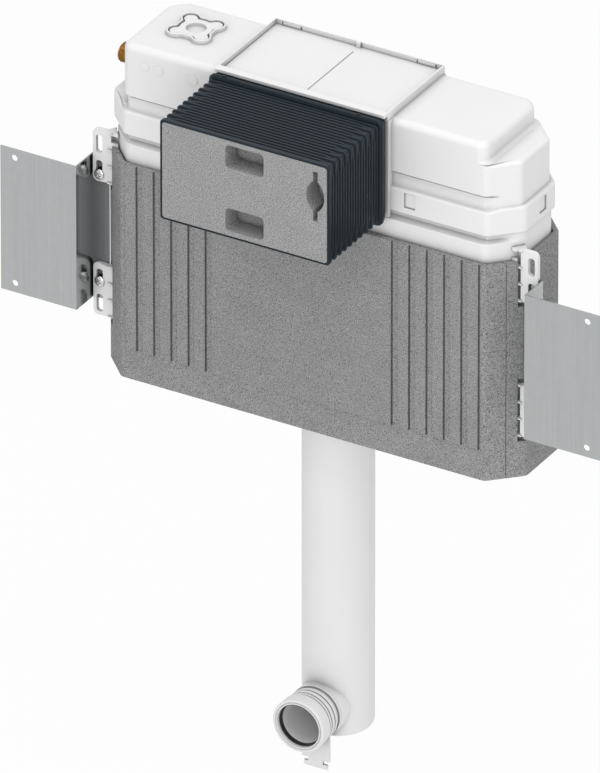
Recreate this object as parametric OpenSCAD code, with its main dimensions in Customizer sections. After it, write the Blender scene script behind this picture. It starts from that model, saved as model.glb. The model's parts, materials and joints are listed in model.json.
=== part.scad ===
// Concealed toilet cistern for a wall: insulated tank, service shaft, steel wings and flush pipe.
// Millimetres. +X is right, +Y is into the wall, +Z is up.
// The origin is the centre of the four fixing holes, on the front face of the steel wings.

/* [Insulation casing] */
// Width of the foam casing
case_w = 482.4; // [460:0.2:500]
// Height of the foam casing
case_h = 250; // [220:1:280]
// Height of the casing's top edge
case_top = 102.5; // [90:0.5:106]
// Front face of the casing, behind the wings' face
case_front = 5.5; // [4:0.5:9]
// Depth of the casing
case_d = 125; // [115:1:140]
// Corner chamfer of the casing
case_chamfer = 31; // [24:1:36]
// Foam wall of the casing
case_wall = 5.4; // [4:0.1:7]
// Distance of the seam between the two foam shells from the casing's front
seam_offset = 16; // [10:1:20]
// Width of the seam between the two foam shells
seam_gap = 0.4; // [0.3:0.1:1]
// How far the pads stand out of the front shell
pad_h = 1.7; // [1:0.1:3]
// Distance of the centre pad's edge from the casing's side
pad_side = 137.2; // [136:0.2:150]
// Width of one narrow pad
strip_w = 13; // [9:0.5:16]
// Pitch of the narrow pads
strip_pitch = 20; // [18:0.5:20]
// Number of narrow pads on each side
strip_count = 5; // [2:1:5]
// Distance of the pads' ends from the casing's bottom
pad_bottom = 34.5; // [20:0.5:50]
// Distance of the pads' ends from the casing's top
pad_top = 3; // [2:0.5:10]

/* [Tank] */
// Wall of the tank and its hood
tank_wall = 3; // [2.5:0.1:4]
// Height of the tank's shoulder above the casing
shoulder_h = 16; // [12:0.5:20]
// Gap between the shoulder and the hood's belt
belt_gap = 10; // [8:0.5:14]
// Clearance between pieces that sit in each other
fit_gap = 0.3; // [0.2:0.05:0.5]
// Height of the seal between tank and hood
gasket_h = 3.3; // [2:0.1:5]

/* [Hood] */
// How far the belt's sides lie inside the casing's sides
belt_side = 3.7; // [1:0.1:9]
// How far the belt's front lies behind the casing's front
belt_in_front = 5.4; // [4:0.1:8]
// How far the belt's rear lies in front of the casing's rear
belt_in_rear = 3; // [0.5:0.5:6]
// Corner chamfer of the belt
belt_chamfer = 29; // [24:1:33]
// Height of the belt band
belt_h = 28.5; // [25:0.5:33]
// Rise of the belt's sloping top
belt_slope = 3; // [1:0.5:5]
// How far the hood's front lies behind the belt's front
hood_in_front = 1.9; // [1:0.1:5]
// How far the hood's rear lies in front of the belt's rear
hood_in_rear = 5.5; // [3:0.5:9]
// How far the hood's left side lies inside the belt's side
hood_in_left = 24; // [18:0.5:32]
// How far the hood's right side lies inside the belt's side
hood_in_right = 4.5; // [2:0.5:9]
// How far the ledge on the right lies below the high part
ledge_drop = 23; // [15:0.5:36]
// Width of the ledge on the right
ledge_w = 27; // [21:0.5:43]
// Height of the high part above the belt
hood_h = 74; // [66:0.5:80]
// Height of the fine step above the belt
step_h = 15.2; // [8:0.1:28]
// How far the part below the fine step stands out
step_out = 0.7; // [0.4:0.1:1.2]
// Width of a latch window in the belt
latch_w = 12.7; // [10:0.1:16]
// Height of a latch window in the belt
latch_h = 17; // [14:0.5:18]
// Distance of the front latch windows from the centre block
latch_side = 21.9; // [14:0.1:80]
// Depth of a latch window
latch_depth = 2.5; // [1:0.1:3]

/* [Centre block and lid] */
// How far the centre block is wider than the shaft on each side
block_margin = 1.5; // [1:0.1:5]
// How far the centre block's front lies behind the casing's front
block_offset = 1; // [0.5:0.1:3]
// How far the centre block's rear lies in front of the hood's rear
block_in_rear = 1.6; // [1:0.1:6]
// How far the centre block's apron reaches below the belt
apron_h = 6.5; // [3:0.5:9]
// Height of the raised rim above the hood's high part
rim_h = 9.3; // [8:0.1:14]
// Thickness of the raised rim
rim_t = 1.6; // [1.4:0.1:3]
// How deep the lid lies under the rim
lid_sink = 5.4; // [4:0.1:6]
// Thickness of the lid
lid_t = 3; // [2.5:0.1:3.4]
// Width of the ledge that carries the lid
lid_ledge = 7; // [5:0.5:10]

/* [Service shaft] */
// Outer width of the shaft sleeve
shaft_w = 194.2; // [180:0.2:196]
// How far the shaft reaches above the hood's high part
shaft_over = 3; // [0:0.1:5]
// How far the shaft reaches below the apron
shaft_under = 0.7; // [0:0.1:2]
// Front edge of the shaft in front of the wings
shaft_front = 108.2; // [80:0.1:150]
// Depth of the sleeve's ridges
ridge_depth = 2; // [1:0.1:2.4]
// Pitch of the sleeve's ridges
ridge_pitch = 5.1; // [4.8:0.1:7]
// Number of ridges
ridge_count = 18; // [8:1:18]
// Thickness of one ridge
ridge_t = 2.5; // [1.5:0.1:3]
// Wall of the sleeve between its ridges
sleeve_wall = 2.1; // [1.8:0.1:3]
// Corner radius of the sleeve
shaft_r = 5; // [3:0.5:8]
// How far the rear collar stands out above and below
collar_out_z = 6; // [3:0.5:8]
// How far the rear collar stands out at the sides
collar_out_x = 2.7; // [1:0.1:5]
// Depth of the rear collar
collar_d = 9.4; // [6:0.2:12]

/* [Foam plug] */
// Depth of the foam plug
plug_d = 38; // [25:1:60]
// Thickness of the plug's front flange
plug_flange = 3.9; // [3:0.1:6]
// Width of a finger pocket
pocket_w = 44; // [30:1:60]
// Height of a finger pocket
pocket_h = 26; // [18:1:30]
// Depth of a finger pocket
pocket_d = 24; // [10:1:30]
// Distance of a finger pocket's middle from the shaft's top or bottom
pocket_edge = 20.65; // [19:0.05:26]
// Distance of the lens-shaped slot's middle from the shaft's right side
slot_edge = 15.8; // [15:0.1:36]
// Distance of the lens-shaped slot's middle from the shaft's top
slot_down = 37.95; // [34:0.05:57]
// Length of the lens-shaped slot
slot_l = 56; // [40:1:60]
// Width of the lens-shaped slot
slot_w = 20.6; // [14:0.2:21]
// Width of the slot's necks
slot_neck = 5.3; // [5:0.1:8]

/* [Wings] */
// Distance of a fixing hole from the wing's web
hole_reach = 71.8; // [62:0.2:82]
// Distance between the upper and lower fixing holes
fix_h = 143.8; // [130:0.2:150]
// Diameter of a fixing hole
fix_d = 7; // [5:0.5:9]
// Height of a wing
wing_h = 164.5; // [160:0.5:180]
// Distance of a fixing hole from the wing's outer edge
fix_edge = 16.4; // [12:0.2:20]
// Thickness of the wing's sheet steel
wing_t = 1.5; // [1.2:0.1:2]
// Distance of the wing's web from the casing's side
web_gap = 17.4; // [16:0.2:25]
// Depth of the wing's web
web_d = 34.7; // [34:0.1:36]

/* [Lugs] */
// Height of a mounting lug
lug_h = 60; // [56:0.5:64]
// Middle of the upper lugs
lug_up_z = 83; // [80:0.5:86]
// Middle of the lower lugs
lug_low_z = -71.3; // [-75:0.5:-68]
// Thickness of a lug
lug_t = 3; // [2:0.1:4]
// Distance of the screws and lug slots from the casing's side
lug_reach = 8.2; // [7.4:0.1:8.8]
// Width of a lug slot
lug_slot_w = 7.5; // [6.4:0.1:8]
// Length of a lug slot
lug_slot_l = 20; // [16:0.5:22]
// Distance between the two slots of a lug
lug_slot_pitch = 28.8; // [26:0.2:30]
// How far the slots of a lug sit below its middle
lug_slot_drop = 1.6; // [0:0.1:2]
// How far an upper screw sits below the middle of its slot
screw_drop_up = 6.6; // [0:0.1:6.8]
// How far a lower screw sits below the middle of its slot
screw_drop_low = 4.5; // [0:0.1:6.8]
// Radius of a lug screw's shank
screw_r = 3; // [2.5:0.1:3]
// Radius of a lug screw's head
screw_head_r = 6; // [5:0.1:6.2]

/* [Flush pipe and outlet] */
// Outer radius of the flush pipe
pipe_r = 37; // [34:0.5:40]
// Distance of the pipe's axis from the casing's rear
pipe_in = 52.5; // [48:0.5:60]
// Lower end of the flush pipe
pipe_bottom = -521; // [-560:1:-515]
// Radius of the water way
pipe_bore = 25; // [23.5:0.5:26]
// Height of the outlet's axis above the pipe's lower end
outlet_h = 32.4; // [31:0.1:37]
// Distance of the outlet's mouth from the pipe's axis
outlet_reach = 81; // [79:0.5:100]
// Radius of the bore that takes the pan's inlet pipe
outlet_bore = 22.75; // [20:0.05:23]
// Outer radius of the outlet's collar
outlet_r = 29.5; // [28:0.1:31]
// Outer radius of the outlet's ribs and front bead
outlet_rib_r = 31.6; // [31.2:0.1:33]
// Pitch of the outlet's ribs
outlet_rib_pitch = 6.4; // [6:0.1:7]
// How far the clip hangs below the outlet's axis
clip_drop = 64.9; // [63:0.1:100]

/* [Water inlet] */
// Radius of the brass inlet's thread
inlet_r = 10.48; // [9:0.01:12]
// Distance of the inlet's axis from the hood's front
inlet_in = 42.2; // [37:0.1:47]
// How far the inlet's axis lies below the hood's high part
inlet_drop = 37; // [33:0.5:43]
// How far the inlet stands out of the hood
inlet_out = 23.4; // [15:0.2:30]
// Bore of the inlet
inlet_bore = 6.5; // [5:0.1:7]

/* [Lobed port] */
// Distance of the port's centre from the hood's left side
port_in = 52.5; // [50:0.5:60]
// Distance of the port's centre from the hood's front
port_depth = 58.9; // [47:0.1:62]
// Distance of a lobe's centre along each axis
lobe_offset = 14.5; // [12:0.5:18]
// Radius of a lobe
lobe_r = 8.3; // [8:0.1:9]
// Height of the port's raised rim
port_rim_h = 4.5; // [2:0.5:7]
// Radius of the round recess in the cap
port_recess_r = 11.9; // [6:0.1:12]

/* [Valves] */
// Radius of the flush valve's cage
cage_r = 36; // [32:0.5:38]
// Radius of the lifting flush tube
tube_r = 20; // [18:0.5:22]
// Height of the cage's top
cage_top = 74; // [60:1:90]
// Distance between the axes of the lever pin and the flush valve
lever_to_pipe = 33; // [32:0.5:36]
// How far the lever pin's axis lies below the hood's high part
lever_drop = 31; // [28:0.5:35]
// Distance of the fill valve's axis from the hood's left side
fill_in = 83.5; // [80:0.5:88]
// Radius of the fill valve's body
fill_r = 12; // [10:0.5:13]
// Outer radius of the fill valve's float
float_r = 28; // [24:0.5:30]
// Length of the float lever's arm
float_arm = 24; // [22:0.5:26]

/* [Hidden] */
$fn = 48;
eps = 0.01;
// how far a cut runs past a face
over = 1;
tan_half = tan(22.5);
white_col = [0.93, 0.93, 0.93];
foam_col = [0.56, 0.57, 0.57];
plug_col = [0.68, 0.69, 0.69];
shaft_col = [0.12, 0.15, 0.19];
steel_col = [0.68, 0.71, 0.73];
brass_col = [0.72, 0.53, 0.24];
rubber_col = [0.08, 0.08, 0.08];
inner_col = [0.83, 0.87, 0.92];
lever_col = [0.25, 0.45, 0.75];

case_half = case_w / 2;
case_rear = case_front + case_d;
case_bottom = case_top - case_h;
case_r = 8;
seam_y = case_front + seam_offset;
pad_half_w = case_half - pad_side;
strip_gap = strip_pitch - strip_w;

tank_inset = case_wall + fit_gap;
tank_bottom = case_bottom + case_wall;
tank_floor = tank_bottom + tank_wall;
shoulder_z = case_top + shoulder_h;
// pairs of drop and inset that round the tank's shoulder
shoulder_steps = [[2, 0], [0.6, 0.6], [0, 2]];
neck_inset = 6.5;

belt_half_w = case_half - belt_side;
belt_front = case_front + belt_in_front;
belt_rear = case_rear - belt_in_rear;
belt_r = 6;
belt_z0 = shoulder_z + belt_gap;
belt_z1 = belt_z0 + belt_h;
belt_top_wall = 4;
belt_cavity_z = belt_z1 - belt_top_wall;
neck_top = belt_cavity_z - gasket_h;
slope_foot = 1;
slope_head = 5;
latch_drop = 0.5;
latch_back = 4.4;
latch_z = (belt_z0 + belt_z1) / 2 - latch_drop;
latch_y = (belt_front + belt_rear) / 2 + latch_back;

hood_front = belt_front + hood_in_front;
hood_rear = belt_rear - hood_in_rear;
hood_left = belt_half_w - hood_in_left;
hood_right = belt_half_w - hood_in_right;
hood_r = 8;
hood_chamfer = 27;
rear_chamfer_left = 16;
plateau_right = hood_right - ledge_w;
plateau_chamfer = 10;
plateau_bevel = 2;
plateau_z = belt_z1 + hood_h;
ledge_z = plateau_z - ledge_drop;
step_z = belt_z1 + step_h;
disc_r = 5.25;
disc_h = 0.5;
disc_drop = 20.5;
// distances of the round flat marks from the hood's left side
disc_places = [27.5, 43.5, 83.5, 96.5];

shaft_half_w = shaft_w / 2;
block_half_w = shaft_half_w + block_margin;
block_front = case_front + block_offset;
block_rear = hood_rear - block_in_rear;
block_bottom = belt_z0 - apron_h;
latch_x = block_half_w + latch_side;
rim_z = plateau_z + rim_h;
rim_in = 1;
// the rim's front reaches over the shaft's collar from this height up
rim_nose = 6.8;
rim_nose_up = 5.4;
rim_nose_z = plateau_z + rim_nose_up;
rim_half_w = block_half_w - rim_in;
lid_top = rim_z - lid_sink;
lid_z = lid_top - lid_t;
lid_half_w = rim_half_w - rim_t - fit_gap;
lid_y0 = block_front + rim_t + fit_gap;
lid_y1 = block_rear - rim_t - fit_gap;

shaft_top = plateau_z + shaft_over;
shaft_bottom = block_bottom - shaft_under;
shaft_half_h = (shaft_top - shaft_bottom) / 2;
shaft_z = (shaft_top + shaft_bottom) / 2;
shaft_back = block_front;
shaft_lip = 6;
sleeve_in = ridge_depth + sleeve_wall;
mouth_wall = 2.1;
plug_gap = 0.3;
hatch_side = 2;
hatch_over = 3;
hatch_half_w = shaft_half_w - sleeve_in - hatch_side;
hatch_bottom = belt_z1 + hatch_side;
hatch_top = shaft_top - sleeve_in - hatch_over;

web_x = case_half + web_gap;
fix_half_w = web_x + hole_reach;
wing_outer = fix_half_w + fix_edge;
flange_y = web_d - wing_t;
flange_over = 1;
flange_in = case_half - flange_over;
lug_x = case_half + lug_reach;
lug_gap = 0.2;
lug_y1 = flange_y - lug_gap;
lug_y0 = lug_y1 - lug_t;
lug_tail = 20;

pipe_y = case_rear - pipe_in;
outlet_z = pipe_bottom + outlet_h;
outlet_front = pipe_y - outlet_reach;
clip_bottom = outlet_z - clip_drop;
boss_reach = 41;
mouth_r = 24.2;
seal_front = 4.5;
seal_rear = 9;
seal_seat = 2.2;
seal_play = 0.1;

inlet_y = hood_front + inlet_in;
inlet_z = plateau_z - inlet_drop;
port_x = hood_left - port_in;
port_y = hood_front + port_depth;
port_lip = 2;

// the stop valve and its hose, by distances from the hood's left side
valve_in = 17.5;
hose_in = 30;
knob_in = 56;
hose_x = -hood_left + hose_in;
knob_x = -hood_left + knob_in;
hose_drop = 20;
nut_t = 7;
washer_t = 2;
spindle_r = 4;

fill_x = hood_left - fill_in;
fill_lever_drop = 41;
fill_lever_z = plateau_z - fill_lever_drop;
fill_hub_r = 2.5;
fill_branch_l = 6;
fill_play = 0.1;
float_h = 50;
float_drop = 82;
float_lift = 12;
float_z1 = fill_lever_z - float_drop;
float_z0 = float_z1 - float_h;
hose_over = 16;
hose_low = float_z1 + float_lift + hose_over;
bracket_drop = 20;
bracket_t = 5;
bracket_z0 = fill_lever_z - bracket_drop;
link_x = -fill_x + float_arm;
link_r = 2.5;

base_seal_t = 3;
base_t = 5.2;
base_z0 = tank_floor + base_seal_t;
base_z1 = base_z0 + base_t;
tail_r = 22;
tail_l = 34;
tail_bottom = tank_bottom - tail_l;
tail_nut_h = 12;
tail_in_seal = 4;
seal_z = tail_bottom + tail_in_seal;
tube_foot_r = 27;
tube_rest = 5;
tube_bottom = base_z1 + tube_rest;
lever_y = pipe_y - lever_to_pipe;
lever_z = plateau_z - lever_drop;
head_z = lever_z;
head_h = 6;
rod_x = 48;
rod_r = 3.5;
rod_foot_over = 70.9;
rod_bottom = base_z1 + rod_foot_over;
rod_foot_h = 35;
pin_r = 3;
pin_gap = 0.06;

// the two flush levers and the hangers of their pin, from left to right
side_play = 1;
hanger_t = 4;
full_x0 = -35;
full_l = 60;
full_x1 = full_x0 + full_l;
half_x0 = full_x1 + hanger_t + 2 * side_play;
half_l = 30;
half_x1 = half_x0 + half_l;
hanger_places = [full_x0 - side_play - hanger_t, full_x1 + side_play, half_x1 + side_play];
hangers_end = half_x1 + side_play + hanger_t;

// Octagon with 45 degree chamfers, drawn t inside its outline
function octagon(hw, y0, y1, c, t) = [
    [-(hw - c) + t * tan_half, y0 + t], [hw - c - t * tan_half, y0 + t],
    [hw - t, y0 + c + t * tan_half], [hw - t, y1 - c - t * tan_half],
    [hw - c - t * tan_half, y1 - t], [-(hw - c) + t * tan_half, y1 - t],
    [-hw + t, y1 - c - t * tan_half], [-hw + t, y0 + c + t * tan_half]
];

// Hood outline: square front left corner, chamfers of its own at the right and the rear left
function hood_plan(right, front_c, rear_c, t) = [
    [-hood_left + t, hood_front + t],
    [right - front_c - t * tan_half, hood_front + t],
    [right - t, hood_front + front_c + t * tan_half],
    [right - t, hood_rear - rear_c - t * tan_half],
    [right - rear_c - t * tan_half, hood_rear - t],
    [-hood_left + rear_chamfer_left + t * tan_half, hood_rear - t],
    [-hood_left + t, hood_rear - rear_chamfer_left - t * tan_half]
];

module slab(z0, z1) { translate([0, 0, z0]) linear_extrude(z1 - z0) children(); }

module soft_corners(r) { offset(r = r, $fn = 32) offset(delta = -r) children(); }

module case_plan(t) { polygon(octagon(case_half, case_front, case_rear, case_chamfer, t)); }

module belt_plan(t) { polygon(octagon(belt_half_w, belt_front, belt_rear, belt_chamfer, t)); }

module block_from(p, q) { translate(p) cube([q[0] - p[0], q[1] - p[1], q[2] - p[2]]); }

// Cylinder along Y from y0 to y1, round the point x, z
module rod_y(r, x, y0, y1, z) { translate([x, y0, z]) rotate([-90, 0, 0]) cylinder(r = r, h = y1 - y0); }

// Cylinder along X from x0 to x1, round the point y, z
module rod_x(r, x0, x1, y, z) { translate([x0, y, z]) rotate([0, 90, 0]) cylinder(r = r, h = x1 - x0); }

module rod_z(r, x, y, z0, z1) { translate([x, y, z0]) cylinder(r = r, h = z1 - z0); }

// Rounded rectangle, centred, with true round corners
module round_rect(hx, hz, r) {
    square([2 * hx, 2 * (hz - r)], center = true);
    square([2 * (hx - r), 2 * hz], center = true);
    for (sx = [-1, 1], sz = [-1, 1]) {
        translate([sx * (hx - r), sz * (hz - r)]) circle(r);
    }
}

// Frontal rounded rectangle round the shaft's axis, from y0 to y1
module shaft_block(hx, hz, r, y0, y1) {
    translate([0, y1, shaft_z]) rotate([90, 0, 0]) linear_extrude(y1 - y0) round_rect(hx, hz, r);
}

module case_shell() {
    difference() {
        slab(case_bottom, case_top) soft_corners(case_r) case_plan(0);
        slab(tank_bottom, case_top + over) case_plan(case_wall);
        rod_z(pipe_r + fit_gap, 0, pipe_y, case_bottom - over, tank_bottom + over);
    }
}

module insulation_front() {
    color(foam_col) {
        intersection() {
            case_shell();
            block_from([-case_half, case_front - over, case_bottom],
                [case_half, seam_y - seam_gap / 2, case_top]);
        }
        pad(-pad_half_w, pad_half_w);
        for (side = [-1, 1], i = [0 : strip_count - 1]) {
            middle = side * (pad_half_w + strip_gap + strip_w / 2 + i * strip_pitch);
            pad(middle - strip_w / 2, middle + strip_w / 2);
        }
    }
}

module pad(x0, x1) {
    r = 3;
    z0 = case_bottom + pad_bottom;
    z1 = case_top - pad_top;
    translate([(x0 + x1) / 2, case_front + eps, (z0 + z1) / 2])
        rotate([90, 0, 0])
            linear_extrude(pad_h + eps) round_rect((x1 - x0) / 2, (z1 - z0) / 2, r);
}

module insulation_rear() {
    color(foam_col) difference() {
        case_shell();
        block_from([-case_half - over, case_front - over, case_bottom - over],
            [case_half + over, seam_y + seam_gap / 2, case_top + over]);
        for (side = [-1, 1], z = [lug_up_z, lug_low_z]) lug_window(side, z);
    }
}

// Slot in the foam that a mounting lug comes out of
module lug_window(side, z) {
    margin = 6;
    room_front = 0.4;
    room_rear = 3.5;
    scale([side, 1, 1])
        block_from([case_half - lug_tail, lug_y0 - room_front, z - lug_h / 2 - margin],
            [case_half + over, lug_y1 + room_rear, z + lug_h / 2 + margin]);
}

module lower_tank() {
    color(white_col) difference() {
        union() {
            hull() for (s = shoulder_steps) slab(tank_bottom, shoulder_z - s[0]) case_plan(tank_inset + s[1]);
            slab(tank_bottom, neck_top) belt_plan(neck_inset);
        }
        slab(tank_floor, shoulder_z - tank_wall) case_plan(tank_inset + tank_wall);
        slab(tank_floor, neck_top + over) belt_plan(neck_inset + tank_wall);
        rod_z(tail_r + fit_gap, 0, pipe_y, tank_bottom - over, tank_floor + over);
    }
}

module hood_gasket() {
    color(rubber_col) difference() {
        slab(neck_top, belt_cavity_z) belt_plan(neck_inset + fit_gap);
        slab(neck_top - over, belt_cavity_z + over) belt_plan(neck_inset + tank_wall);
    }
}

module hood_outside() {
    slab(belt_z0, belt_z1) soft_corners(belt_r) belt_plan(0);
    hull() {
        slab(belt_z1 - eps, belt_z1) belt_plan(slope_foot);
        slab(belt_z1, belt_z1 + belt_slope) belt_plan(slope_head);
    }
    slab(belt_z1, step_z) offset(delta = step_out) soft_corners(hood_r) body_plan(0);
    slab(belt_z1, ledge_z) soft_corners(hood_r) body_plan(0);
    slab(belt_z1, plateau_z) soft_corners(hood_r) plateau_plan(0);
    slab(belt_z0, plateau_z) block_plan(block_half_w, block_front, block_rear);
    slab(plateau_z - eps, rim_z) block_plan(rim_half_w, block_front, block_rear);
    slab(rim_nose_z, rim_z) block_plan(rim_half_w, block_front - rim_nose, block_front + eps);
    slab(block_bottom, belt_z0 + eps) block_plan(block_half_w, block_front, belt_front - fit_gap);
}

module body_plan(t) { polygon(hood_plan(hood_right, hood_chamfer, hood_chamfer, t)); }

module plateau_plan(t) { polygon(hood_plan(plateau_right, plateau_bevel, plateau_chamfer, t)); }

module block_plan(hw, y0, y1) { translate([-hw, y0]) square([2 * hw, y1 - y0]); }

module hood_inside() {
    ceiling_in = neck_inset + tank_wall + 1;
    slab(belt_z0 - over, belt_cavity_z) belt_plan(neck_inset - fit_gap);
    slab(belt_z0, belt_z1 + over) belt_plan(ceiling_in);
    slab(belt_z1, ledge_z - tank_wall) body_plan(tank_wall);
    slab(belt_z1, plateau_z - tank_wall) plateau_plan(tank_wall);
    slab(belt_z1, lid_z - tank_wall)
        block_plan(block_half_w - tank_wall, block_front + tank_wall, block_rear - tank_wall);
}

module tank_hood() {
    inlet_play = 0.2;
    color(white_col) {
        difference() {
            hood_outside();
            hood_inside();
            // the lid's seat and the opening under it
            slab(lid_z, rim_z + over) block_plan(rim_half_w - rim_t, block_front + rim_t, block_rear - rim_t);
            slab(lid_z - tank_wall - over, lid_z + over)
                block_plan(lid_half_w - lid_ledge, lid_y0 + lid_ledge, lid_y1 - lid_ledge);
            // the way into the shaft
            block_from([-hatch_half_w, block_front - over, hatch_bottom],
                [hatch_half_w, block_front + 2 * tank_wall + over, hatch_top]);
            for (side = [-1, 1]) {
                latch_window([side * latch_x, belt_front, latch_z], latch_w, 2 * latch_depth);
                latch_window([side * belt_half_w, latch_y, latch_z], 2 * latch_depth, latch_w);
            }
            rod_x(inlet_r + inlet_play, -hood_left - 2 * over, -hood_left + tank_wall + over, inlet_y, inlet_z);
            translate([-port_x, port_y, 0])
                slab(plateau_z - tank_wall - over, plateau_z + over) lobes(-port_lip);
        }
        // raised rim round the lobed port
        translate([-port_x, port_y, 0]) difference() {
            slab(plateau_z - eps, plateau_z + port_rim_h) lobes(port_lip);
            slab(plateau_z - over, plateau_z + port_rim_h + over) lobes(0);
        }
        for (x = disc_places) {
            rod_y(disc_r, x - hood_left, hood_front - disc_h, hood_front + over, plateau_z - disc_drop);
        }
        bracket_ears();
    }
}

// Ears on the inside of the hood that carry the fill valve's bracket
module bracket_ears() {
    half_w = 20;
    ear_d = 5;
    ear_h = 6.7;
    wall_y = hood_rear - tank_wall;
    ear_z1 = bracket_z0 - fit_gap;
    block_from([-fill_x - half_w, wall_y - ear_d, ear_z1 - ear_h], [-fill_x + half_w, wall_y + over, ear_z1]);
}

module latch_window(at, wx, wy) { translate(at) cube([wx, wy, latch_h], center = true); }

// Four lobes on the diagonals with hollow sides between them, grown by g
module lobes(g) {
    square_over = 2;
    middle = lobe_offset + square_over;
    bite_r = 9;
    bite_out = 10.1;
    difference() {
        union() {
            square(2 * (middle + g), center = true);
            for (sx = [-1, 1], sy = [-1, 1]) {
                translate([sx * lobe_offset, sy * lobe_offset]) circle(lobe_r + g);
            }
        }
        for (a = [0 : 90 : 270]) {
            rotate(a) translate([lobe_offset + bite_out, 0]) circle(bite_r - g);
        }
    }
}

module port_cap() {
    cap_sink = 1.5;
    cap_gap = 1;
    recess_d = 3.4;
    plug_over = 3;
    plug_below = tank_wall + plug_over;
    cap_top = plateau_z + port_rim_h - cap_sink;
    recess_floor = cap_top - recess_d;
    color(white_col) translate([-port_x, port_y, 0]) difference() {
        union() {
            slab(plateau_z + fit_gap, cap_top) lobes(-cap_gap);
            slab(plateau_z - plug_below, plateau_z + fit_gap + over) lobes(-port_lip - fit_gap);
        }
        rod_z(port_recess_r, 0, 0, recess_floor, plateau_z + port_rim_h);
    }
}

module service_lid() {
    groove_w = 1.2;
    groove_d = 1.2;
    groove_front = 8;
    groove_rear = 12;
    notch_x = 78;
    notch_half_w = 11;
    notch_d = 3;
    nub_half_w = 2.3;
    nub_d = 2.6;
    nub_h = 6;
    skirt_d = 2.5;
    skirt_t = 2;
    skirt_in = lid_ledge + 0.5;
    inside = skirt_in + skirt_t;
    color(white_col) {
        difference() {
            slab(lid_z, lid_top) block_plan(lid_half_w, lid_y0, lid_y1);
            block_from([-groove_w / 2, lid_y0 + groove_front, lid_top - groove_d],
                [groove_w / 2, lid_y1 - groove_rear, lid_top + over]);
            for (side = [-1, 1]) {
                x = side * notch_x;
                block_from([x - notch_half_w, lid_y1 - notch_d, lid_z - over],
                    [x + notch_half_w, lid_y1 + over, rim_z]);
            }
        }
        block_from([-nub_half_w, lid_y1 - nub_d, lid_top - eps], [nub_half_w, lid_y1, lid_top + nub_h]);
        // skirt that centres the lid in its opening
        difference() {
            slab(lid_z - skirt_d, lid_z + eps)
                block_plan(lid_half_w - skirt_in, lid_y0 + skirt_in, lid_y1 - skirt_in);
            slab(lid_z - skirt_d - over, lid_z)
                block_plan(lid_half_w - inside, lid_y0 + inside, lid_y1 - inside);
        }
    }
}

module shaft_sleeve() {
    ridge_start = 8;
    first_ridge = -shaft_front + ridge_start;
    core_x = shaft_half_w - ridge_depth;
    core_z = shaft_half_h - ridge_depth;
    corner_free = 16;
    color(shaft_col) difference() {
        union() {
            shaft_block(core_x, core_z, shaft_r - 1, -shaft_front, shaft_back);
            shaft_block(shaft_half_w, shaft_half_h, shaft_r, -shaft_front, -shaft_front + shaft_lip);
            shaft_collar();
            for (i = [0 : ridge_count - 1]) {
                y = first_ridge + i * ridge_pitch;
                if (i % 2 == 1) {
                    shaft_block(shaft_half_w, shaft_half_h, shaft_r, y, y + ridge_t);
                }
                else {
                    block_from([-shaft_half_w, y, shaft_z - core_z + corner_free],
                        [shaft_half_w, y + ridge_t, shaft_z + core_z - corner_free]);
                    block_from([-core_x + corner_free, y, shaft_z - shaft_half_h],
                        [core_x - corner_free, y + ridge_t, shaft_z + shaft_half_h]);
                }
            }
        }
        shaft_block(shaft_half_w - sleeve_in, shaft_half_h - sleeve_in, shaft_r - 2,
            -shaft_front - over, shaft_back + over);
        shaft_block(shaft_half_w - mouth_wall, shaft_half_h - mouth_wall, shaft_r - 1.5,
            -shaft_front - over, -shaft_front + plug_flange + plug_gap);
    }
}

// Rear collar of the sleeve: a high step in front of a low one
module shaft_collar() {
    step_x = 1;
    step_up = 2;
    collar_gap = 5.5;
    y1 = shaft_back - collar_gap;
    middle = y1 - collar_d / 2;
    shaft_block(shaft_half_w + collar_out_x, shaft_half_h + collar_out_z, shaft_r + 3, y1 - collar_d, middle);
    shaft_block(shaft_half_w + step_x, shaft_half_h + step_up, shaft_r + 1, middle, y1);
}

module shaft_plug() {
    face_y = -shaft_front + 0.2;
    flange_back = -shaft_front + plug_flange;
    edge_in = mouth_wall + plug_gap;
    body_in = sleeve_in + plug_gap;
    pocket_r = 5;
    color(plug_col) difference() {
        union() {
            shaft_block(shaft_half_w - edge_in, shaft_half_h - edge_in, shaft_r - 1.8, face_y, flange_back);
            shaft_block(shaft_half_w - body_in, shaft_half_h - body_in, shaft_r - 2.3,
                flange_back - over, face_y + plug_d);
        }
        for (z = [shaft_bottom + pocket_edge, shaft_top - pocket_edge]) {
            translate([0, face_y + pocket_d, z])
                rotate([90, 0, 0])
                    linear_extrude(pocket_d + over) round_rect(pocket_w / 2, pocket_h / 2, pocket_r);
        }
        translate([shaft_half_w - slot_edge, face_y + pocket_d, shaft_top - slot_down])
            rotate([90, 0, 0])
                linear_extrude(pocket_d + over) lens_slot();
    }
}

module lens_slot() {
    bulge_l = slot_l * 0.68;
    lens_r = (pow(bulge_l / 2, 2) + pow(slot_w / 2, 2)) / slot_w;
    square([slot_neck, slot_l], center = true);
    intersection() {
        translate([lens_r - slot_w / 2, 0]) circle(lens_r);
        translate([slot_w / 2 - lens_r, 0]) circle(lens_r);
    }
}

module wing(side) {
    hole_play = 0.3;
    half_h = wing_h / 2;
    color(steel_col) scale([side, 1, 1]) difference() {
        union() {
            block_from([web_x, 0, -half_h], [wing_outer, wing_t, half_h]);
            block_from([web_x, 0, -half_h], [web_x + wing_t, web_d, half_h]);
            block_from([flange_in, flange_y, -half_h], [web_x + wing_t, web_d, half_h]);
        }
        for (sz = [-1, 1]) rod_y(fix_d / 2, fix_half_w, -over, wing_t + over, sz * fix_h / 2);
        for (z = [lug_up_z, lug_low_z]) {
            rod_y(screw_r + hole_play, lug_x, flange_y - over, web_d + over, screw_z(z));
        }
    }
}

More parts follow.
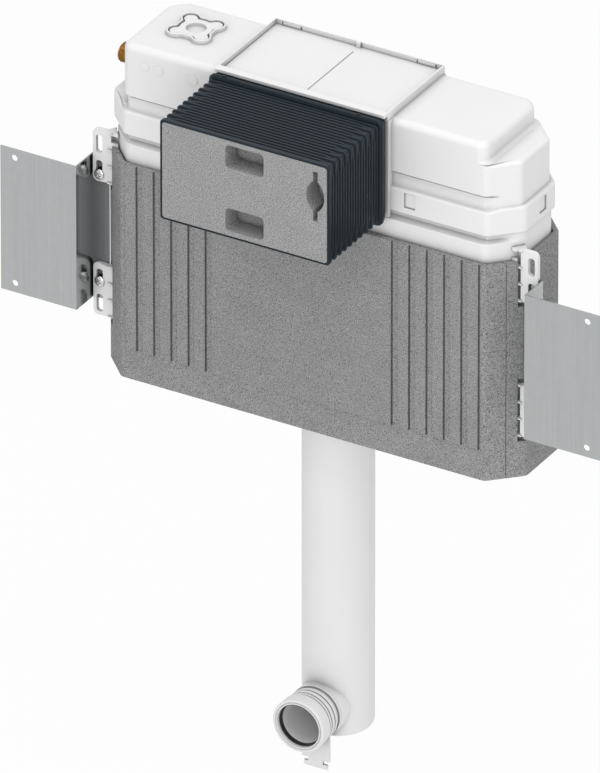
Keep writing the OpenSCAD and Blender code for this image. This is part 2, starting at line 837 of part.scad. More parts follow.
// Height of slot s (-1 lower, 1 upper) of the lug at height z
function slot_z_of(z, s) = z - lug_slot_drop + s * lug_slot_pitch / 2;

// A screw sits in the slot that lies nearer to the wing's middle
function screw_z(z) = z > 0 ? slot_z_of(z, -1) - screw_drop_up : slot_z_of(z, 1) - screw_drop_low;

module wing_left() { wing(-1); }

module wing_right() { wing(1); }

module lug(side, z) {
    inner_x = case_half - lug_tail;
    web_play = 1.2;
    rib_in = 5.9;
    outer_x = web_x - web_play;
    rib_x = case_half - rib_in;
    rib_w = 3.5;
    rib_h = 3;
    rib_out = 1.6;
    rib_pitch = 19;
    arm_h = 4.2;
    arm_back = 8;
    neck_x = case_half - tank_inset;
    neck_drop = 12;
    slot_r = 3;
    top = z + lug_h / 2;
    color(white_col) scale([side, 1, 1]) difference() {
        union() {
            translate([0, lug_y1, z])
                rotate([90, 0, 0])
                    linear_extrude(lug_t) lug_outline(inner_x, outer_x);
            for (s = [-1.5 : 1 : 1.5]) {
                rib_z = z + s * rib_pitch;
                block_from([rib_x, lug_y0 - rib_out, rib_z - rib_h / 2],
                    [rib_x + rib_w, lug_y0 + eps, rib_z + rib_h / 2]);
            }
            if (z > 0) translate([0, 0, top - arm_h]) linear_extrude(arm_h)
                polygon([[inner_x, lug_y0], [case_half, lug_y0], [case_half, lug_y1],
                    [neck_x, lug_y1 + arm_back], [inner_x, lug_y1 + arm_back]]);
        }
        if (z > 0) block_from([inner_x - over, lug_y0 - over, top - neck_drop],
            [neck_x, lug_y1 + over, top - arm_h]);
        for (s = [-1, 1]) {
            translate([lug_x, lug_y1 + over, slot_z_of(z, s)])
                rotate([90, 0, 0])
                    linear_extrude(lug_t + 2 * over)
                        round_rect(lug_slot_w / 2, lug_slot_l / 2, slot_r);
        }
        slab(tank_bottom, shoulder_z) case_plan(tank_inset - fit_gap);
    }
}

module lug_outline(x0, x1) {
    r = 6.5;
    translate([x0, -lug_h / 2]) square([x1 - x0 - r, lug_h]);
    translate([x0, -lug_h / 2 + r]) square([x1 - x0, lug_h - 2 * r]);
    for (s = [-1, 1]) translate([x1 - r, s * (lug_h / 2 - r)]) circle(r);
}

module lug_upper_left() { lug(-1, lug_up_z); }

module lug_lower_left() { lug(-1, lug_low_z); }

module lug_upper_right() { lug(1, lug_up_z); }

module lug_lower_right() { lug(1, lug_low_z); }

module lug_screws() {
    head_h = 3.4;
    screw_out = 7;
    hex_r = 2.3;
    hex_d = 2;
    color(steel_col) for (side = [-1, 1], z = [lug_up_z, lug_low_z]) {
        difference() {
            union() {
                rod_y(screw_head_r, side * lug_x, lug_y0 - head_h, lug_y0, screw_z(z));
                rod_y(screw_r, side * lug_x, lug_y0 - over, web_d + screw_out, screw_z(z));
            }
            translate([side * lug_x, lug_y0 - head_h - over, screw_z(z)])
                rotate([-90, 0, 0]) cylinder(r = hex_r, h = hex_d + over, $fn = 6);
        }
    }
}

module lug_nuts() {
    nut_h = 4.8;
    nut_r = 5.8;
    thread_play = 0.05;
    color(steel_col) for (side = [-1, 1], z = [lug_up_z, lug_low_z]) {
        difference() {
            translate([side * lug_x, web_d, screw_z(z)])
                rotate([-90, 0, 0]) cylinder(r = nut_r, h = nut_h, $fn = 6);
            rod_y(screw_r + thread_play, side * lug_x, web_d - over, web_d + nut_h + over, screw_z(z));
        }
    }
}

module flush_pipe() {
    edge_r = 5;
    boss_r = 33.5;
    boss_front = outlet_front + boss_reach;
    socket_r = 34;
    pipe_top = tank_bottom - fit_gap;
    color(white_col) difference() {
        union() {
            translate([0, pipe_y, 0]) rotate_extrude() {
                translate([0, pipe_bottom + edge_r]) square([pipe_r, pipe_top - pipe_bottom - edge_r]);
                translate([0, pipe_bottom]) square([pipe_r - edge_r, edge_r + over]);
                intersection() {
                    translate([pipe_r - edge_r, pipe_bottom + edge_r]) circle(edge_r);
                    translate([0, pipe_bottom]) square([pipe_r, edge_r + over]);
                }
            }
            rod_y(boss_r, 0, boss_front, pipe_y, outlet_z);
        }
        rod_z(pipe_bore, 0, pipe_y, outlet_z, tank_bottom + over);
        translate([0, pipe_y, outlet_z]) sphere(pipe_bore);
        rod_y(pipe_bore, 0, boss_front - over, pipe_y, outlet_z);
        rod_z(socket_r, 0, pipe_y, seal_z, tank_bottom + over);
    }
}

module outlet_socket() {
    socket_l = 56;
    tail_end = outlet_front + socket_l;
    bead_inset = 1;
    bead_d = 7;
    smooth_l = 19.5;
    first_rib = outlet_front + smooth_l;
    rib_t = 2.6;
    color(white_col) difference() {
        union() {
            rod_y(outlet_r, 0, outlet_front, outlet_front + boss_reach - fit_gap, outlet_z);
            rod_y(outlet_rib_r, 0, outlet_front + bead_inset, outlet_front + bead_inset + bead_d, outlet_z);
            for (i = [0 : 2]) {
                y = first_rib + i * outlet_rib_pitch;
                rod_y(outlet_rib_r, 0, y, y + rib_t, outlet_z);
            }
            rod_y(pipe_bore - fit_gap, 0, outlet_front, tail_end, outlet_z);
        }
        rod_y(outlet_bore, 0, outlet_front - over, tail_end + over, outlet_z);
        rod_y(mouth_r, 0, outlet_front - over, outlet_front + seal_front, outlet_z);
        rod_y(mouth_r + seal_seat, 0, outlet_front + seal_front, outlet_front + seal_rear, outlet_z);
    }
}

module outlet_seal() {
    y0 = outlet_front + seal_front + seal_play;
    y1 = outlet_front + seal_rear - seal_play;
    color(rubber_col) difference() {
        rod_y(mouth_r + seal_seat - 2 * seal_play, 0, y0, y1, outlet_z);
        rod_y(outlet_bore, 0, y0 - over, y1 + over, outlet_z);
    }
}

module outlet_clip() {
    clip_t = 3;
    ring_w = 0.9;
    ring_play = 0.2;
    clip_back = 35.2;
    y0 = outlet_front + clip_back;
    y1 = y0 + clip_t;
    tab_half_w = 15.9;
    stem_half_w = 8.5;
    bar_half_w = 13.5;
    stem_h = 9.5;
    bar_h = 5;
    tab_bottom = clip_bottom + stem_h;
    bar_top = clip_bottom + bar_h;
    color(white_col) difference() {
        union() {
            rod_y(outlet_rib_r + ring_w, 0, y0, y1, outlet_z);
            block_from([-tab_half_w, y0, tab_bottom], [tab_half_w, y1, outlet_z]);
            block_from([-stem_half_w, y0, clip_bottom], [stem_half_w, y1, tab_bottom + over]);
            block_from([-bar_half_w, y0, clip_bottom], [bar_half_w, y1, bar_top]);
        }
        rod_y(outlet_r + ring_play, 0, y0 - over, y1 + over, outlet_z);
    }
}

module pipe_seal() {
    seal_h = 4;
    seal_w = 6;
    seal_r = pipe_bore + seal_w;
    color(rubber_col) difference() {
        rod_z(seal_r, 0, pipe_y, seal_z, seal_z + seal_h);
        rod_z(tail_r + 2 * seal_play, 0, pipe_y, seal_z - over, seal_z + seal_h + over);
    }
}

module inlet_stub() {
    inner_end = -hood_left + valve_in;
    outer_end = -hood_left - inlet_out;
    thread_gap = 1;
    thread_end = -hood_left - thread_gap;
    relief = 0.2;
    color(brass_col) difference() {
        union() {
            rod_x(inlet_r, outer_end, thread_end, inlet_y, inlet_z);
            rod_x(inlet_r - relief, thread_end - over, inner_end, inlet_y, inlet_z);
        }
        rod_x(inlet_bore, outer_end - over, inner_end + over, inlet_y, inlet_z);
    }
}

module inlet_washer() {
    x0 = -hood_left + tank_wall;
    washer_r = 15;
    thread_depth = 0.1;
    color(rubber_col) difference() {
        rod_x(washer_r, x0, x0 + washer_t, inlet_y, inlet_z);
        rod_x(inlet_r - thread_depth, x0 - over, x0 + washer_t + over, inlet_y, inlet_z);
    }
}

module inlet_nut() {
    x0 = -hood_left + tank_wall + washer_t;
    nut_r = 16;
    thread_depth = 0.15;
    color(brass_col) difference() {
        translate([x0, inlet_y, inlet_z]) rotate([0, 90, 0]) cylinder(r = nut_r, h = nut_t, $fn = 6);
        rod_x(inlet_r - thread_depth, x0 - over, x0 + nut_t + over, inlet_y, inlet_z);
    }
}

module stop_valve_body() {
    x0 = -hood_left + valve_in;
    body_r = 12;
    branch_r = 8;
    way_d = 14;
    body_gap = 6;
    spindle_over = 4;
    color(brass_col) difference() {
        union() {
            rod_x(body_r, x0, knob_x - body_gap, inlet_y, inlet_z);
            rod_x(spindle_r, x0, knob_x + spindle_over, inlet_y, inlet_z);
            rod_z(branch_r, hose_x, inlet_y, inlet_z - hose_drop, inlet_z);
        }
        rod_x(inlet_bore, x0 - over, x0 + way_d, inlet_y, inlet_z);
    }
}

module stop_valve_knob() {
    knob_r = 13;
    grip_half_w = 3;
    grip_l = 20;
    knob_left = 4;
    knob_right = 6;
    knob_cover = 1.5;
    x0 = knob_x - knob_left;
    x1 = knob_x + knob_right;
    color(lever_col) difference() {
        union() {
            rod_x(knob_r, x0, x1, inlet_y, inlet_z);
            block_from([x0 + 1, inlet_y - grip_half_w, inlet_z - grip_l],
                [x1 - 1, inlet_y + grip_half_w, inlet_z]);
        }
        rod_x(spindle_r + pin_gap, x0 - over, x1 - knob_cover, inlet_y, inlet_z);
    }
}

// Short hose from the stop valve down and round into the side of the fill valve
module supply_hose() {
    hose_r = 6;
    bend = 24;
    color(steel_col) {
        rod_z(hose_r, hose_x, inlet_y, hose_low + bend, inlet_z - hose_drop);
        translate([hose_x + bend, inlet_y, hose_low + bend])
            rotate([90, 0, 0])
                rotate([0, 0, 180])
                    rotate_extrude(angle = 90) translate([bend, 0]) circle(hose_r);
        rod_x(hose_r, hose_x + bend, -fill_x - fill_r - fill_branch_l, inlet_y, hose_low);
    }
}

module fill_valve_body() {
    foot_drop = 4;
    foot_z = float_z0 - foot_drop;
    foot_h = 5;
    foot_out = 3;
    fork_h = 13;
    body_top = fill_lever_z - fork_h;
    branch_r = 8;
    way_r = 4;
    cheek_half_w = 5;
    cheek_y = 8;
    cheek_t = 4;
    cheek_over = 5;
    cheek_top = fill_lever_z + cheek_over;
    color(inner_col) difference() {
        union() {
            rod_z(fill_r, -fill_x, inlet_y, foot_z, body_top);
            rod_z(fill_r + foot_out, -fill_x, inlet_y, foot_z - foot_h, foot_z + eps);
            rod_x(branch_r, -fill_x - fill_r - fill_branch_l, -fill_x, inlet_y, hose_low);
            for (s = [-1, 1]) {
                y = inlet_y + s * cheek_y;
                block_from([-fill_x - cheek_half_w, y - cheek_t / 2, body_top - over * 2],
                    [-fill_x + cheek_half_w, y + cheek_t / 2, cheek_top]);
            }
            rod_y(fill_hub_r, -fill_x, inlet_y - cheek_y - over, inlet_y + cheek_y + over, fill_lever_z);
        }
        rod_z(way_r, -fill_x, inlet_y, foot_z - foot_h - over, hose_low);
    }
}

module fill_valve_bracket() {
    ring_w = 5;
    arm_half_w = 14;
    z1 = bracket_z0 + bracket_t;
    color(inner_col) difference() {
        union() {
            rod_z(fill_r + ring_w, -fill_x, inlet_y, bracket_z0, z1);
            block_from([-fill_x - arm_half_w, inlet_y, bracket_z0],
                [-fill_x + arm_half_w, hood_rear - tank_wall - fit_gap, z1]);
        }
        rod_z(fill_r + fill_play, -fill_x, inlet_y, bracket_z0 - over, z1 + over);
    }
}

module fill_float() {
    bore_play = 0.8;
    link_drop = 4;
    color(white_col) difference() {
        union() {
            rod_z(float_r, -fill_x, inlet_y, float_z0, float_z1);
            rod_z(link_r, link_x, inlet_y, float_z1 - over, fill_lever_z - link_drop);
        }
        rod_z(fill_r + bore_play, -fill_x, inlet_y, float_z0 - over, float_z1 + over);
    }
}

module fill_lever() {
    hub_r = 5;
    hub_half_w = 5;
    arm_half_w = 4;
    arm_below = 3.4;
    arm_above = 2;
    color(lever_col) difference() {
        union() {
            rod_y(hub_r, -fill_x, inlet_y - hub_half_w, inlet_y + hub_half_w, fill_lever_z);
            block_from([-fill_x, inlet_y - arm_half_w, fill_lever_z - arm_below],
                [link_x + link_r, inlet_y + arm_half_w, fill_lever_z + arm_above]);
        }
        rod_y(fill_hub_r + pin_gap, -fill_x,
            inlet_y - hub_half_w - over, inlet_y + hub_half_w + over, fill_lever_z);
    }
}

module valve_base() {
    rim_w = 2;
    wall = 4;
    color(inner_col) difference() {
        union() {
            rod_z(cage_r + rim_w, 0, pipe_y, base_z0, base_z1);
            rod_z(tail_r, 0, pipe_y, tail_bottom, base_z1);
        }
        rod_z(tail_r - wall, 0, pipe_y, tail_bottom - over, base_z1 + over);
    }
}

module valve_base_seal() {
    edge_in = 2;
    color(rubber_col) difference() {
        rod_z(cage_r - edge_in, 0, pipe_y, tank_floor, base_z0);
        rod_z(tail_r + 2 * seal_play, 0, pipe_y, tank_floor - over, base_z0 + over);
    }
}

module valve_nut() {
    nut_r = 33;
    thread_play = 0.05;
    z0 = tank_bottom - tail_nut_h;
    color(inner_col) difference() {
        translate([0, pipe_y, z0]) cylinder(r = nut_r, h = tail_nut_h, $fn = 8);
        rod_z(tail_r + thread_play, 0, pipe_y, z0 - over, tank_bottom + over);
    }
}

module valve_cage() {
    wall = 2.5;
    roof = 4;
    guide_half_w = 9;
    guide_h = 8;
    guide_in = 6;
    guide_over = 8;
    tube_play = 0.5;
    rod_play = 0.4;
    window_in = 20;
    window_half_w = 13;
    window_h = 185;
    window_up = 8;
    color(inner_col) difference() {
        union() {
            rod_z(cage_r, 0, pipe_y, base_z1, cage_top);
            block_from([cage_r - guide_in, pipe_y - guide_half_w, cage_top - guide_h],
                [rod_x + guide_over, pipe_y + guide_half_w, cage_top]);
        }
        rod_z(cage_r - wall, 0, pipe_y, base_z1 - over, cage_top - roof);
        rod_z(tube_r + tube_play, 0, pipe_y, cage_top - roof - over, cage_top + over);
        rod_z(rod_r + rod_play, rod_x, pipe_y, cage_top - guide_h - over, cage_top + over);
        for (a = [0 : 90 : 270]) {
            translate([0, pipe_y, base_z1 + window_up]) rotate(a + 45)
                block_from([window_in, -window_half_w, 0], [cage_r + 5 * over, window_half_w, window_h]);
        }
    }
}

module flush_tube() {
    wall = 2.5;
    head_w = 6;
    head_r = tube_r + head_w;
    foot_h = 3;
    overflow_drop = 108;
    overflow_z = lever_z - overflow_drop;
    overflow_h = 24;
    overflow_half_w = 8;
    color(inner_col) difference() {
        union() {
            rod_z(tube_r, 0, pipe_y, tube_bottom, head_z + head_h);
            rod_z(head_r, 0, pipe_y, head_z, head_z + head_h);
            rod_z(tube_foot_r, 0, pipe_y, tube_bottom, tube_bottom + foot_h);
        }
        rod_z(tube_r - wall, 0, pipe_y, tube_bottom - over, head_z + head_h + over);
        for (a = [45, 225]) {
            translate([0, pipe_y, overflow_z]) rotate(a)
                block_from([tube_r / 2, -overflow_half_w, 0], [tube_r + over, overflow_half_w, overflow_h]);
        }
    }
}

module flush_seal() {
    seat_in = 5;
    color(rubber_col) difference() {
        rod_z(tube_foot_r, 0, pipe_y, base_z1 + fit_gap, tube_bottom);
        rod_z(tail_r - seat_in, 0, pipe_y, base_z1, tube_bottom + over);
    }
}

module half_flush_rod() {
    button_r = 9;
    button_h = 4;
    foot_r = 10;
    color(inner_col) {
        rod_z(rod_r, rod_x, pipe_y, rod_bottom, head_z + button_h);
        rod_z(button_r, rod_x, pipe_y, head_z, head_z + button_h);
        rod_z(foot_r, rod_x, pipe_y, rod_bottom, rod_bottom + rod_foot_h);
    }
}

module lever_bracket() {
    half_d = 6;
    bar_h = 9.4;
    bar_play = 1;
    bar_half_w = block_half_w - tank_wall - bar_play;
    bar_z1 = lid_z - tank_wall - fit_gap;
    bar_z0 = bar_z1 - bar_h;
    hanger_below = 7;
    bore_play = 0.02;
    color(inner_col) difference() {
        union() {
            block_from([-bar_half_w, lever_y - half_d, bar_z0], [bar_half_w, lever_y + half_d, bar_z1]);
            for (x = hanger_places) {
                block_from([x, lever_y - half_d, lever_z - hanger_below],
                    [x + hanger_t, lever_y + half_d, bar_z0 + over]);
            }
        }
        rod_x(pin_r + bore_play, hanger_places[0] - over, hangers_end + over, lever_y, lever_z);
    }
}

module lever_pin() {
    pin_out = 2;
    color(steel_col) rod_x(pin_r, hanger_places[0] - pin_out, hangers_end + pin_out, lever_y, lever_z);
}

// Bell crank on the lever pin: a plate hangs down to be pushed and a fork lifts a head at the rear
module bell_crank(x0, x1, push_x0, push_x1, fork_mid, fork_in, fork_out) {
    hub_r = 7;
    plate_half_t = 3;
    plate_l = 38;
    reach_over = 2;
    reach = lever_to_pipe + reach_over;
    head_play = 0.6;
    room_w = 3.5;
    room_below = 0.5;
    room_above = 10;
    color(lever_col) difference() {
        union() {
            rod_x(hub_r, x0, x1, lever_y, lever_z);
            block_from([push_x0, lever_y - plate_half_t, lever_z - plate_l],
                [push_x1, lever_y + plate_half_t, lever_z]);
            for (side = [-1, 1]) {
                a = fork_mid + side * fork_in;
                b = fork_mid + side * fork_out;
                block_from([min(a, b), lever_y, lever_z - hub_r],
                    [max(a, b), lever_y + reach, lever_z - head_play]);
            }
        }
        rod_x(pin_r + pin_gap, x0 - over, x1 + over, lever_y, lever_z);
        // room for the round head above the fork
        rod_z(fork_out + room_w, fork_mid, pipe_y, lever_z - room_below, lever_z + room_above);
    }
}

module full_flush_lever() {
    push_w = 13.5;
    fork_gap = 0.8;
    fork_w = 5;
    bell_crank(full_x0, full_x1, full_x0, full_x0 + push_w, 0, tube_r + fork_gap, tube_r + fork_w);
}

module half_flush_lever() {
    push_in = 5;
    push_w = 22;
    fork_gap = 0.7;
    fork_w = 4.5;
    push_x0 = half_x0 + push_in;
    bell_crank(half_x0, half_x1, push_x0, push_x0 + push_w, rod_x, rod_r + fork_gap, rod_r + fork_w);
}

lower_tank();
tank_hood();
hood_gasket();
insulation_front();
insulation_rear();
shaft_sleeve();
shaft_plug();
service_lid();
port_cap();
wing_left();
wing_right();
lug_upper_left();
lug_lower_left();
lug_upper_right();
lug_lower_right();
lug_screws();
lug_nuts();
flush_pipe();
outlet_socket();
outlet_seal();
outlet_clip();
pipe_seal();
inlet_stub();
inlet_washer();
inlet_nut();
stop_valve_body();
stop_valve_knob();
supply_hose();
fill_valve_body();
fill_valve_bracket();
fill_float();
fill_lever();
valve_base();
valve_base_seal();
valve_nut();
valve_cage();
flush_tube();
flush_seal();
half_flush_rod();
lever_bracket();
lever_pin();
full_flush_lever();
half_flush_lever();
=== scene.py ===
"""Concealed toilet cistern: looks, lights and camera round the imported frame.

The pieces are written in millimetres and made in metres; the lamps and the floor are in metres."""
import json
import math

import bmesh
import bpy
from mathutils import Matrix, Vector


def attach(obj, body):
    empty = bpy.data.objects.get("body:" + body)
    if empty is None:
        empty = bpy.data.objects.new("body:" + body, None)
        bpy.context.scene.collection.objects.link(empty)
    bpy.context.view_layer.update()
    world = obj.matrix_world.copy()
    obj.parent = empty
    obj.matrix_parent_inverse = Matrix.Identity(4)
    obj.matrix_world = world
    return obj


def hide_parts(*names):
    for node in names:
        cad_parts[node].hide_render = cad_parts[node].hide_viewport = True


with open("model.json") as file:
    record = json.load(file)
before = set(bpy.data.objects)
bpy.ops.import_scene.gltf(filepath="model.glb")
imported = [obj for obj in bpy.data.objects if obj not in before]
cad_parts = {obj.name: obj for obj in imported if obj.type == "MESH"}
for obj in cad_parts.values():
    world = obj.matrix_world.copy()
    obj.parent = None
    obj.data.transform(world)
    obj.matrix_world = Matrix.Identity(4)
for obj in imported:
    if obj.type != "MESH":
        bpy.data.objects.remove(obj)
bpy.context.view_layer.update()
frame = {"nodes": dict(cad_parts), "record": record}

MM = 0.001
nodes = frame["nodes"]
body_of_node = {n: b for b, ns in frame["record"]["behaviour"]["bodies"].items() for n in ns}
slot_of_node = {s["node"]: s["material_slot"] for s in frame["record"]["subparts"]}


# Camera: a long lens far away, which matches the parallel projection of the photograph

CAM_AZIMUTH = 30.28
CAM_ELEVATION = 29.65
CAM_TARGET = Vector((0.82, 0.0, -96.18)) * MM
CAM_DISTANCE = 27.888
CAM_LENS = 1300


def make_camera():
    """Camera at its azimuth and elevation, looking at the target."""
    a, e = math.radians(CAM_AZIMUTH), math.radians(CAM_ELEVATION)
    back = Vector((math.sin(a) * math.cos(e), -math.cos(a) * math.cos(e), math.sin(e)))
    data = bpy.data.cameras.new("camera")
    data.lens = CAM_LENS
    data.clip_start, data.clip_end = 1.0, 100.0
    cam = bpy.data.objects.new("camera", data)
    cam.location = CAM_TARGET + back * CAM_DISTANCE
    cam.rotation_mode = "QUATERNION"
    cam.rotation_quaternion = (-back).to_track_quat("-Z", "Y")
    bpy.context.scene.collection.objects.link(cam)
    bpy.context.scene.camera = cam


# Materials


class Shader:
    """A material with its nodes, built by short calls."""

    def __init__(self, name, colour, roughness, metallic=0.0, specular=0.5):
        self.mat = bpy.data.materials.new(name)
        self.mat.use_nodes = True
        self.tree = self.mat.node_tree
        self.bsdf = self.tree.nodes["Principled BSDF"]
        self.put(self.bsdf, "Base Color", (*colour, 1))
        self.put(self.bsdf, "Roughness", roughness)
        self.put(self.bsdf, "Metallic", metallic)
        self.put(self.bsdf, "Specular IOR Level", specular)
        self.coords = self.tree.nodes.new("ShaderNodeTexCoord").outputs["Object"]

    def put(self, node, socket, value):
        node.inputs[socket].default_value = value

    def link(self, a, b):
        self.tree.links.new(a, b)

    def stretched(self, scale):
        """Object coordinates with each axis scaled."""
        node = self.tree.nodes.new("ShaderNodeMapping")
        self.put(node, "Scale", scale)
        self.link(self.coords, node.inputs["Vector"])
        return node.outputs["Vector"]

    def noise(self, scale, detail=2.0, rough=0.5, vector=None):
        """Cloudy values from 0 to 1, with scale clouds in a metre."""
        node = self.tree.nodes.new("ShaderNodeTexNoise")
        self.put(node, "Scale", scale)
        self.put(node, "Detail", detail)
        self.put(node, "Roughness", rough)
        self.link(vector or self.coords, node.inputs["Vector"])
        return node.outputs["Fac"]

    def cells(self, scale):
        node = self.tree.nodes.new("ShaderNodeTexVoronoi")
        self.put(node, "Scale", scale)
        self.link(self.coords, node.inputs["Vector"])
        return node.outputs["Distance"]

    def ramp(self, value, stops):
        """Colours at places along value: stops is a list of (place, (r, g, b))."""
        node = self.tree.nodes.new("ShaderNodeValToRGB")
        points = node.color_ramp.elements
        while len(points) < len(stops):
            points.new(0.5)
        for point, (place, colour) in zip(points, stops):
            point.position = place
            point.color = (*colour, 1)
        self.link(value, node.inputs["Fac"])
        return node.outputs["Color"]

    def spread(self, value, low, high):
        """value from 0..1 to low..high."""
        node = self.tree.nodes.new("ShaderNodeMapRange")
        self.put(node, "To Min", low)
        self.put(node, "To Max", high)
        self.link(value, node.inputs["Value"])
        return node.outputs["Result"]

    def mix(self, factor, a, b, blend="MIX"):
        node = self.tree.nodes.new("ShaderNodeMix")
        node.data_type = "RGBA"
        node.blend_type = blend
        if isinstance(factor, float):
            node.inputs[0].default_value = factor
        else:
            self.link(factor, node.inputs[0])
        self.link(a, node.inputs[6])
        self.link(b, node.inputs[7])
        return node.outputs[2]

    def painted_crease_shade(self, colour, reach, depth):
        """Painted crease shade: colour made darker by up to depth where faces within reach metres close in on the
        point.
        """
        node = self.tree.nodes.new("ShaderNodeAmbientOcclusion")
        node.samples = 8
        self.put(node, "Distance", reach)
        shaded, unshaded = (1.0 - depth,) * 3, (1.0,) * 3
        return self.mix(1.0, colour, self.ramp(node.outputs["AO"], [(0.25, shaded), (0.93, unshaded)]), "MULTIPLY")

    def bump(self, height, strength, distance):
        node = self.tree.nodes.new("ShaderNodeBump")
        self.put(node, "Strength", strength)
        self.put(node, "Distance", distance)
        self.link(height, node.inputs["Height"])
        self.link(node.outputs["Normal"], self.bsdf.inputs["Normal"])

    def colour_from(self, socket):
        self.link(socket, self.bsdf.inputs["Base Color"])

    def roughness_from(self, socket):
        self.link(socket, self.bsdf.inputs["Roughness"])


def shade(colour, k):
    """Colour k times as bright."""
    return tuple(min(1.0, c * k) for c in colour)


def moulded(name, colour, roughness, variation=0.02, grain=0.06, crease_shade=0.45, reach=0.014, specular=0.5):
    """Moulded plastic: faint flow marks in the colour, a fine satin grain, uneven gloss and painted shade in creases.
    """
    s = Shader(name, colour, roughness, specular=specular)
    tones = [(0.3, shade(colour, 1 - variation)), (0.7, shade(colour, 1 + variation / 2))]
    tone = s.ramp(s.noise(9.0, 3.0, 0.55), tones)
    # painted shade in creases at three reaches: reach, a quarter of it and 2.4 times it
    shaded_tone = s.painted_crease_shade(s.painted_crease_shade(tone, reach, crease_shade), reach / 4, 0.25)
    s.colour_from(s.painted_crease_shade(shaded_tone, reach * 2.4, 0.2))
    s.roughness_from(s.spread(s.noise(60.0, 2.0), roughness - 0.06, roughness + 0.08))
    s.bump(s.noise(1400.0, 2.0), grain, 0.0002)
    return s.mat


def foam(name, base, dark, light):
    """Pressed foam: short dark and light specks of about a millimetre over soft clouds, and painted shade in creases.
    """
    s = Shader(name, base, 0.92, specular=0.2)
    specks = s.noise(760.0, 2.0, 0.6)
    fine = s.noise(1500.0, 1.0, 0.5)
    clouds = s.noise(28.0, 3.0, 0.6)
    speckled = s.ramp(specks, [(0.34, dark), (0.46, base), (0.56, base), (0.68, light)])
    cloudy = s.ramp(clouds, [(0.3, (0.95, 0.95, 0.95)), (0.7, (1.04, 1.04, 1.04))])
    grainy = s.ramp(fine, [(0.3, (0.84, 0.84, 0.84)), (0.7, (1.12, 1.12, 1.12))])
    mottled = s.mix(1.0, s.mix(1.0, speckled, cloudy, "MULTIPLY"), grainy, "MULTIPLY")
    # painted shade within 6 mm of closing faces
    s.colour_from(s.painted_crease_shade(mottled, 0.006, 0.6))
    s.bump(specks, 0.3, 0.0004)
    return s.mat


def sheet_steel(name, colour):
    """Galvanised sheet: long vertical rolling streaks, a soft spangle and painted shade where faces close in."""
    s = Shader(name, colour, 0.3, metallic=1.0)
    streaks = s.noise(1.0, 3.0, 0.6, s.stretched((420.0, 420.0, 6.0)))
    broad = s.noise(1.0, 2.0, 0.5, s.stretched((60.0, 60.0, 3.0)))
    spangle = s.cells(90.0)
    tone = s.ramp(streaks, [(0.3, shade(colour, 0.96)), (0.7, shade(colour, 1.03))])
    wide = s.ramp(broad, [(0.3, (0.98, 0.98, 0.98)), (0.7, (1.015, 1.015, 1.015))])
    flake = s.ramp(spangle, [(0.1, (1.01, 1.01, 1.01)), (0.7, (0.985, 0.985, 0.985))])
    # painted shade within 45 mm of closing faces, which darkens the bend
    s.colour_from(s.painted_crease_shade(s.mix(1.0, s.mix(1.0, tone, wide, "MULTIPLY"), flake, "MULTIPLY"), 0.045, 0.5))
    s.roughness_from(s.spread(streaks, 0.1, 0.2))
    s.bump(s.noise(1600.0, 2.0), 0.05, 0.0001)
    return s.mat


def turned_metal(name, colour, roughness):
    """Machined metal: tarnish clouds and fine scratches."""
    s = Shader(name, colour, roughness, metallic=1.0)
    tarnish = s.noise(140.0, 4.0, 0.6)
    s.colour_from(s.ramp(tarnish, [(0.32, shade(colour, 0.72)), (0.68, shade(colour, 1.1))]))
    s.roughness_from(s.spread(s.noise(420.0, 3.0), roughness - 0.06, roughness + 0.12))
    s.bump(s.noise(1500.0, 2.0), 0.04, 0.0001)
    return s.mat


def rubber(name, colour):
    """Matt rubber with soft clouds."""
    s = Shader(name, colour, 0.6, specular=0.4)
    s.colour_from(s.ramp(s.noise(200.0, 3.0), [(0.3, shade(colour, 0.8)), (0.7, shade(colour, 1.4))]))
    s.bump(s.noise(1800.0, 2.0), 0.15, 0.0001)
    return s.mat


def braid(name, colour):
    """Woven steel sleeve of the supply hose."""
    s = Shader(name, colour, 0.35, metallic=0.9)
    weave = s.cells(700.0)
    s.colour_from(s.ramp(weave, [(0.1, shade(colour, 1.1)), (0.6, shade(colour, 0.45))]))
    s.bump(weave, 0.5, 0.0006)
    return s.mat


MATERIALS = {
    "tank_white": moulded("tank_white", (0.845, 0.84, 0.843), 0.46),
    "casing_foam": foam("casing_foam", (0.30, 0.302, 0.302), (0.10, 0.10, 0.10), (0.44, 0.44, 0.44)),
    "plug_foam": foam("plug_foam", (0.325, 0.328, 0.325), (0.16, 0.16, 0.16), (0.53, 0.53, 0.53)),
    "shaft_black": moulded("shaft_black", (0.006, 0.015, 0.023), 0.36, 0.12, 0.05, 0.4, 0.004, 0.25),
    "galvanised": sheet_steel("galvanised", (0.445, 0.457, 0.46)),
    "lug_white": moulded("lug_white", (0.83, 0.83, 0.83), 0.42),
    "zinc": turned_metal("zinc", (0.66, 0.66, 0.66), 0.14),
    "pipe_white": moulded("pipe_white", (0.81, 0.81, 0.81), 0.40, crease_shade=0.7, reach=0.018),
    "rubber_black": rubber("rubber_black", (0.016, 0.016, 0.017)),
    "brass": turned_metal("brass", (0.50, 0.31, 0.10), 0.30),
    "hose_braid": braid("hose_braid", (0.5, 0.51, 0.53)),
    "valve_plastic": moulded("valve_plastic", (0.62, 0.67, 0.73), 0.40),
    "control_blue": moulded("control_blue", (0.04, 0.15, 0.42), 0.38),
    "pin_steel": turned_metal("pin_steel", (0.5, 0.5, 0.51), 0.3),
}


# Mesh helpers


def add_object(name, mesh):
    obj = bpy.data.objects.new(name, mesh)
    bpy.context.scene.collection.objects.link(obj)
    return obj


def mesh_from(name, verts, faces):
    mesh = bpy.data.meshes.new(name)
    mesh.from_pydata([Vector(v) * MM for v in verts], [], faces)
    bm = bmesh.new()
    bm.from_mesh(mesh)
    bmesh.ops.recalc_face_normals(bm, faces=bm.faces)
    bm.to_mesh(mesh)
    bm.free()
    return mesh


